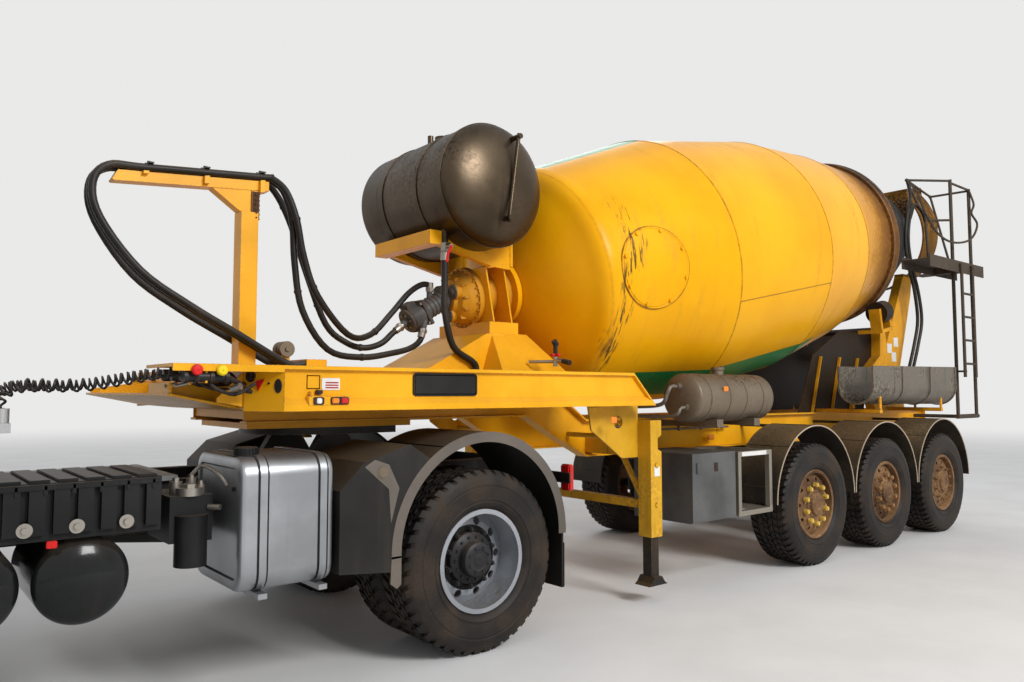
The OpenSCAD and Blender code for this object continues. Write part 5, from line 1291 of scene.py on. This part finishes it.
def side_tank_trim():
    """Hoops, cap and pipes of the side tank, and the pipes and reflectors along the frame."""
    form = Form()
    for x in (-2.235, -2.48, -2.7, -2.935):
        form.revolve([(0.188, -0.014), (0.195, -0.012), (0.195, 0.012), (0.188, 0.014)],
                     facing("back", x, 1.01, 1.47), 64)
    form.revolve([(0.002, 0.01), (0.05, 0.01), (0.054, 0.004), (0.054, -0.01), (0.046, -0.014), (0.002, -0.014)],
                 facing("up", -2.56, 1.01, 1.706), 32)
    form.put(rod((-2.56, 0.962, 1.7), (-2.56, 1.058, 1.724), 0.007, 8))
    form.put(rod((-2.08, 1.01, 1.56), (-2.03, 1.01, 1.56), 0.026, 16))
    form.put(rod((-2.07, 1.08, 1.4), (-2.04, 1.08, 1.4), 0.024, 6))
    add(form, "side_tank_hoops", "trailer", "side_tank_metal")
    add([pipe(0.016, 12, 6, (-2.035, 1.01, 1.56), (-1.96, 1.01, 1.555), (-1.93, 1.0, 1.5), (-1.93, 0.94, 1.42),
              (-1.93, 0.7, 1.4), (-1.93, 0.505, 1.4)),
         pipe(0.014, 12, 6, (-2.045, 1.08, 1.4), (-1.99, 1.08, 1.39), (-1.965, 1.06, 1.345), (-1.965, 0.9, 1.325),
              (-1.965, 0.505, 1.325)),
         rod((-1.66, 0.504, 1.235), (-3.4, 0.504, 1.235), 0.012, 10),
         rod((-1.66, 0.504, 1.195), (-3.4, 0.504, 1.195), 0.01, 10)]
        + [block(-1.76 - 0.31 * k, 0.498, 1.178, -1.74 - 0.31 * k, 0.518, 1.252) for k in range(6)],
        "side_pipes", "trailer", "dirty_steel", "worn_steel")
    add([block(-2.44, 1.192, 1.52, -2.38, 1.199, 1.56), block(-3.18, 0.5, 1.08, -3.09, 0.512, 1.13),
         block(-1.21, 1.146, 1.3, -1.15, 1.152, 1.345)],
        "amber_reflectors", "trailer", "lamp", "lamp_amber", bevel=0.003)


# Seats and bunk of the cab

def pad_form(centre, half, lean=0.0, channels=()):
    """A crowned pad: a rounded box whose sides pull in between its corners, with sewn channels on its face."""
    rows, columns = 28, 56
    swing = Matrix.Rotation(lean, 3, "Y")
    rings = []

    def power(v, e):
        return math.copysign(abs(v) ** e, v)

    for i in range(1, rows):
        up = math.pi * (i / rows - 0.5)
        ring = []
        for k in range(columns):
            turn = 2 * math.pi * k / columns
            x = power(math.cos(up), 0.34) * power(math.cos(turn), 0.3)
            y = power(math.cos(up), 0.34) * power(math.sin(turn), 0.3)
            z = power(math.sin(up), 0.42)
            pull = 1 - 0.03 * (1 - abs(z)) * (1 - max(abs(x), abs(y)) ** 8)
            high = z * half[2] * (0.9 + 0.1 * (1 - x * x) * (1 - y * y))
            for line in channels:
                high -= 0.01 * math.exp(-((y - line) / 0.035) ** 2) * max(0.0, z)
            ring.append(Vector(centre) + swing @ Vector((x * half[0] * pull, y * half[1] * pull, high)))
        rings.append(ring)
    form = Form()
    form.loft(rings)
    return form


def cab_seats():
    def pad(form, name):
        add(form, name, "tractor", "seat_cloth", replaces="cab_seats", sharp=60)

    for side, letter in SIDES:
        y = side * 0.81
        pad(pad_form(at(4.01, y, 1.57), (0.245, 0.245, 0.068), 0.0, (-0.52, 0.52)), f"seat_cushion_{letter}")
        pad(pad_form(at(3.725, y, 1.975), (0.365, 0.225, 0.055), math.radians(85.0), (-0.55, 0.55)),
            f"seat_back_{letter}")
        form = Form()
        for k in range(5):
            inset = 0.014 * (k % 2)
            low = 1.231 + 0.05 * k
            form.put(block(3.81 + inset, y - 0.19 + inset, low, 4.14 - inset, y + 0.19 - inset, low + 0.05))
        form.put(block(3.78, y - 0.215, 1.48, 4.2, y + 0.215, 1.504))
        add(form, f"seat_base_{letter}", "tractor", "trim_plastic", replaces="cab_seats", bevel=0.004)
    pad(pad_form(at(3.21, 0, 1.626), (0.28, 1.13, 0.052), 0.0, (-0.6, -0.2, 0.2, 0.6)), "bunk_mattress")


# Trims of the cab

NOSE_X = 5.0
DOOR_WINDOW = ((3.87, 1.96), (3.87, 2.79), (4.54, 2.79), (4.69, 2.11), (4.69, 1.96))


def cab_trims():
    """Rubbers round the windows, handles, wipers, mirror glass, lamp lenses, blank plates, and black plates of
    painted shade in the grille's gaps.
    """
    for side, letter in SIDES:
        skin = side * 1.199
        corners = [(x, skin, z) for x, z in DOOR_WINDOW]
        add([rod(a, b, 0.011, 10) for a, b in zip(corners, corners[1:] + corners[:1])],
            f"window_rubber_{letter}", f"door_{letter}", "trim_plastic")
        add([block(3.835, skin, 1.76, 4.0, side * 1.204, 1.85),
             block(3.85, side * 1.202, 1.795, 3.985, side * 1.222, 1.817),
             rod((4.03, skin, 1.806), (4.03, side * 1.208, 1.806), 0.014, 20)]
            + [block(3.83, skin, z, 4.74, side * 1.203, z + 0.004) for z in (1.655, 1.665)],
            f"door_handle_{letter}", f"door_{letter}", "trim_plastic", bevel=0.004)
        add([block(4.803, side * 1.28, low, 4.811, side * 1.42, high)
             for low, high in ((2.015, 2.355), (2.425, 2.58))],
            f"mirror_glass_{letter}", "tractor", "lamp", "mirror_silver", bevel=0.003)
        add([block(4.904, skin, 1.33, 4.952, side * 1.206, 1.43)], f"side_indicator_{letter}", "tractor", "lamp",
            "lamp_amber", bevel=0.004)
        form = Form()
        for y, r in ((0.86, 0.07), (1.025, 0.058)):
            form.revolve([(0.002, 0.004), (r * 0.6, 0.008), (r, 0.003), (r + 0.008, 0.006), (r + 0.01, 0.0),
                          (0.002, 0.0)], facing("forward", 5.018, side * y, 0.65), 36)
        add(form, f"headlamp_lenses_{letter}", "tractor", "lamp")
        form = Form()
        top = at(NOSE_X - 0.235, side * 0.12, 2.7)
        foot = at(NOSE_X - 0.03, side * 0.62, 1.975)
        middle = foot.lerp(top, 0.55)
        form.bar(foot, middle, 0.01, 8)
        lean = (at(NOSE_X - 0.285, 0, 2.81) - at(NOSE_X - 0.04, 0, 1.97)).normalized()
        form.bar(middle - 0.33 * lean, middle + 0.33 * lean, 0.012, 8)
        form.disk(facing("forward", NOSE_X - 0.03, side * 0.62, 1.975), 0.026, -0.01, 0.022, 18)
        add(form, f"wiper_{letter}", "tractor", "trim_plastic")
    low_x, low_z, high_x, high_z = NOSE_X - 0.022, 1.96, NOSE_X - 0.262, 2.96
    rim = [(low_x, -1.09, low_z), (low_x, 1.09, low_z), (high_x, 1.09, high_z), (high_x, -1.09, high_z)]
    add([rod(a, b, 0.016, 10) for a, b in zip(rim, rim[1:] + rim[:1])]
        # Black plates in the grille's gaps, just in front of its white backing plate: painted shade
        + [block(NOSE_X + 0.011, -0.856, 1.04 + 0.118 * k, NOSE_X + 0.0145, 0.856, 1.078 + 0.118 * k)
           for k in range(6)]
        + [block(4.999, -0.556, 0.486 + 0.066 * k, 5.007, 0.556, 0.498 + 0.066 * k) for k in range(5)],
        "windscreen_rubber_and_grille_shade", "tractor", "trim_plastic")
    add([block(5.072, -0.27, 0.37, 5.0798, 0.27, 0.465)], "blank_number_plate", "tractor", "cab_paint", "label_white",
        bevel=0.003)


# Floor, light and backdrop

PAPER = (0.82, 0.82, 0.815)
SKY_STRENGTH = 0.58
LAMPS = (
    # name, place, what it points at, size, power
    ("key", (-0.5, 13.0, 9.0), (-1.5, 0, 1.6), 4.5, 1650),
    ("back", (-9.0, -10.0, 9.0), (-1.0, 0, 2.0), 7.0, 430))


def shown_and_lit(tree, shown, lit):
    """The first shader where the camera, a mirror or glass looks straight at it, and the second elsewhere."""
    rays = tree.nodes.new("ShaderNodeLightPath")
    total = rays.outputs["Is Camera Ray"]
    for name in ("Is Glossy Ray", "Is Transmission Ray"):
        either = tree.nodes.new("ShaderNodeMath")
        either.operation = "MAXIMUM"
        tree.links.new(total, either.inputs[0])
        tree.links.new(rays.outputs[name], either.inputs[1])
        total = either.outputs[0]
    mix = tree.nodes.new("ShaderNodeMixShader")
    tree.links.new(total, mix.inputs[0])
    tree.links.new(lit, mix.inputs[1])
    tree.links.new(shown, mix.inputs[2])
    return mix.outputs[0]


def add_stage():
    p = Paint("floor")
    grain = p.noise(1.2, 6.0)
    p.set(colour=p.mix(p.span(grain, 0.3, 0.7), (0.64, 0.635, 0.625), (0.7, 0.695, 0.685)), rough=0.9)
    far = p.node("ShaderNodeVectorMath", {0: p.place}, operation="LENGTH").outputs["Value"]
    paper = p.node("ShaderNodeEmission", {"Color": PAPER, "Strength": 1.0}).outputs[0]
    faded = p.node("ShaderNodeMixShader", {0: p.span(far, 9.0, 34.0), 1: p.shader.outputs[0], 2: paper}).outputs[0]
    p.tree.links.new(faded, p.tree.nodes["Material Output"].inputs["Surface"])
    form = Form()
    form.box((-120, -120, -0.05), (120, 120, 0))
    floor = form.make("floor", p.material)


def add_light():
    world = bpy.data.worlds.new("studio")
    world.use_nodes = True
    scene.world = world
    tree = world.node_tree
    soft = tree.nodes["Background"]
    soft.inputs["Color"].default_value = (0.95, 0.97, 1.0, 1)
    soft.inputs["Strength"].default_value = SKY_STRENGTH
    shown = tree.nodes.new("ShaderNodeBackground")
    shown.inputs["Color"].default_value = (*PAPER, 1)
    seen = shown_and_lit(tree, shown.outputs[0], soft.outputs[0])
    tree.links.new(seen, tree.nodes["World Output"].inputs["Surface"])
    for name, place, aim, size, power in LAMPS:
        lamp = bpy.data.lights.new(name, "AREA")
        lamp.size = size
        lamp.energy = power
        thing = bpy.data.objects.new(name, lamp)
        thing.location = place
        thing.rotation_euler = (Vector(aim) - Vector(place)).to_track_quat("-Z", "Y").to_euler()
        scene.collection.objects.link(thing)


scene.view_settings.view_transform = "Standard"
add_camera()
build_materials()
mast_hoses()
air_coils()
rear_hoses()
dress_nodes()
wheels()
drum_fittings()
fuel_tank()
tractor_trim()
beam_labels()
nose_couplings()
mast_fittings()
trailer_trim()
drum_skin()
gearbox_fittings()
water_fittings()
rear_fittings()
side_tank_trim()
cab_seats()
cab_trims()
add_stage()
add_light()
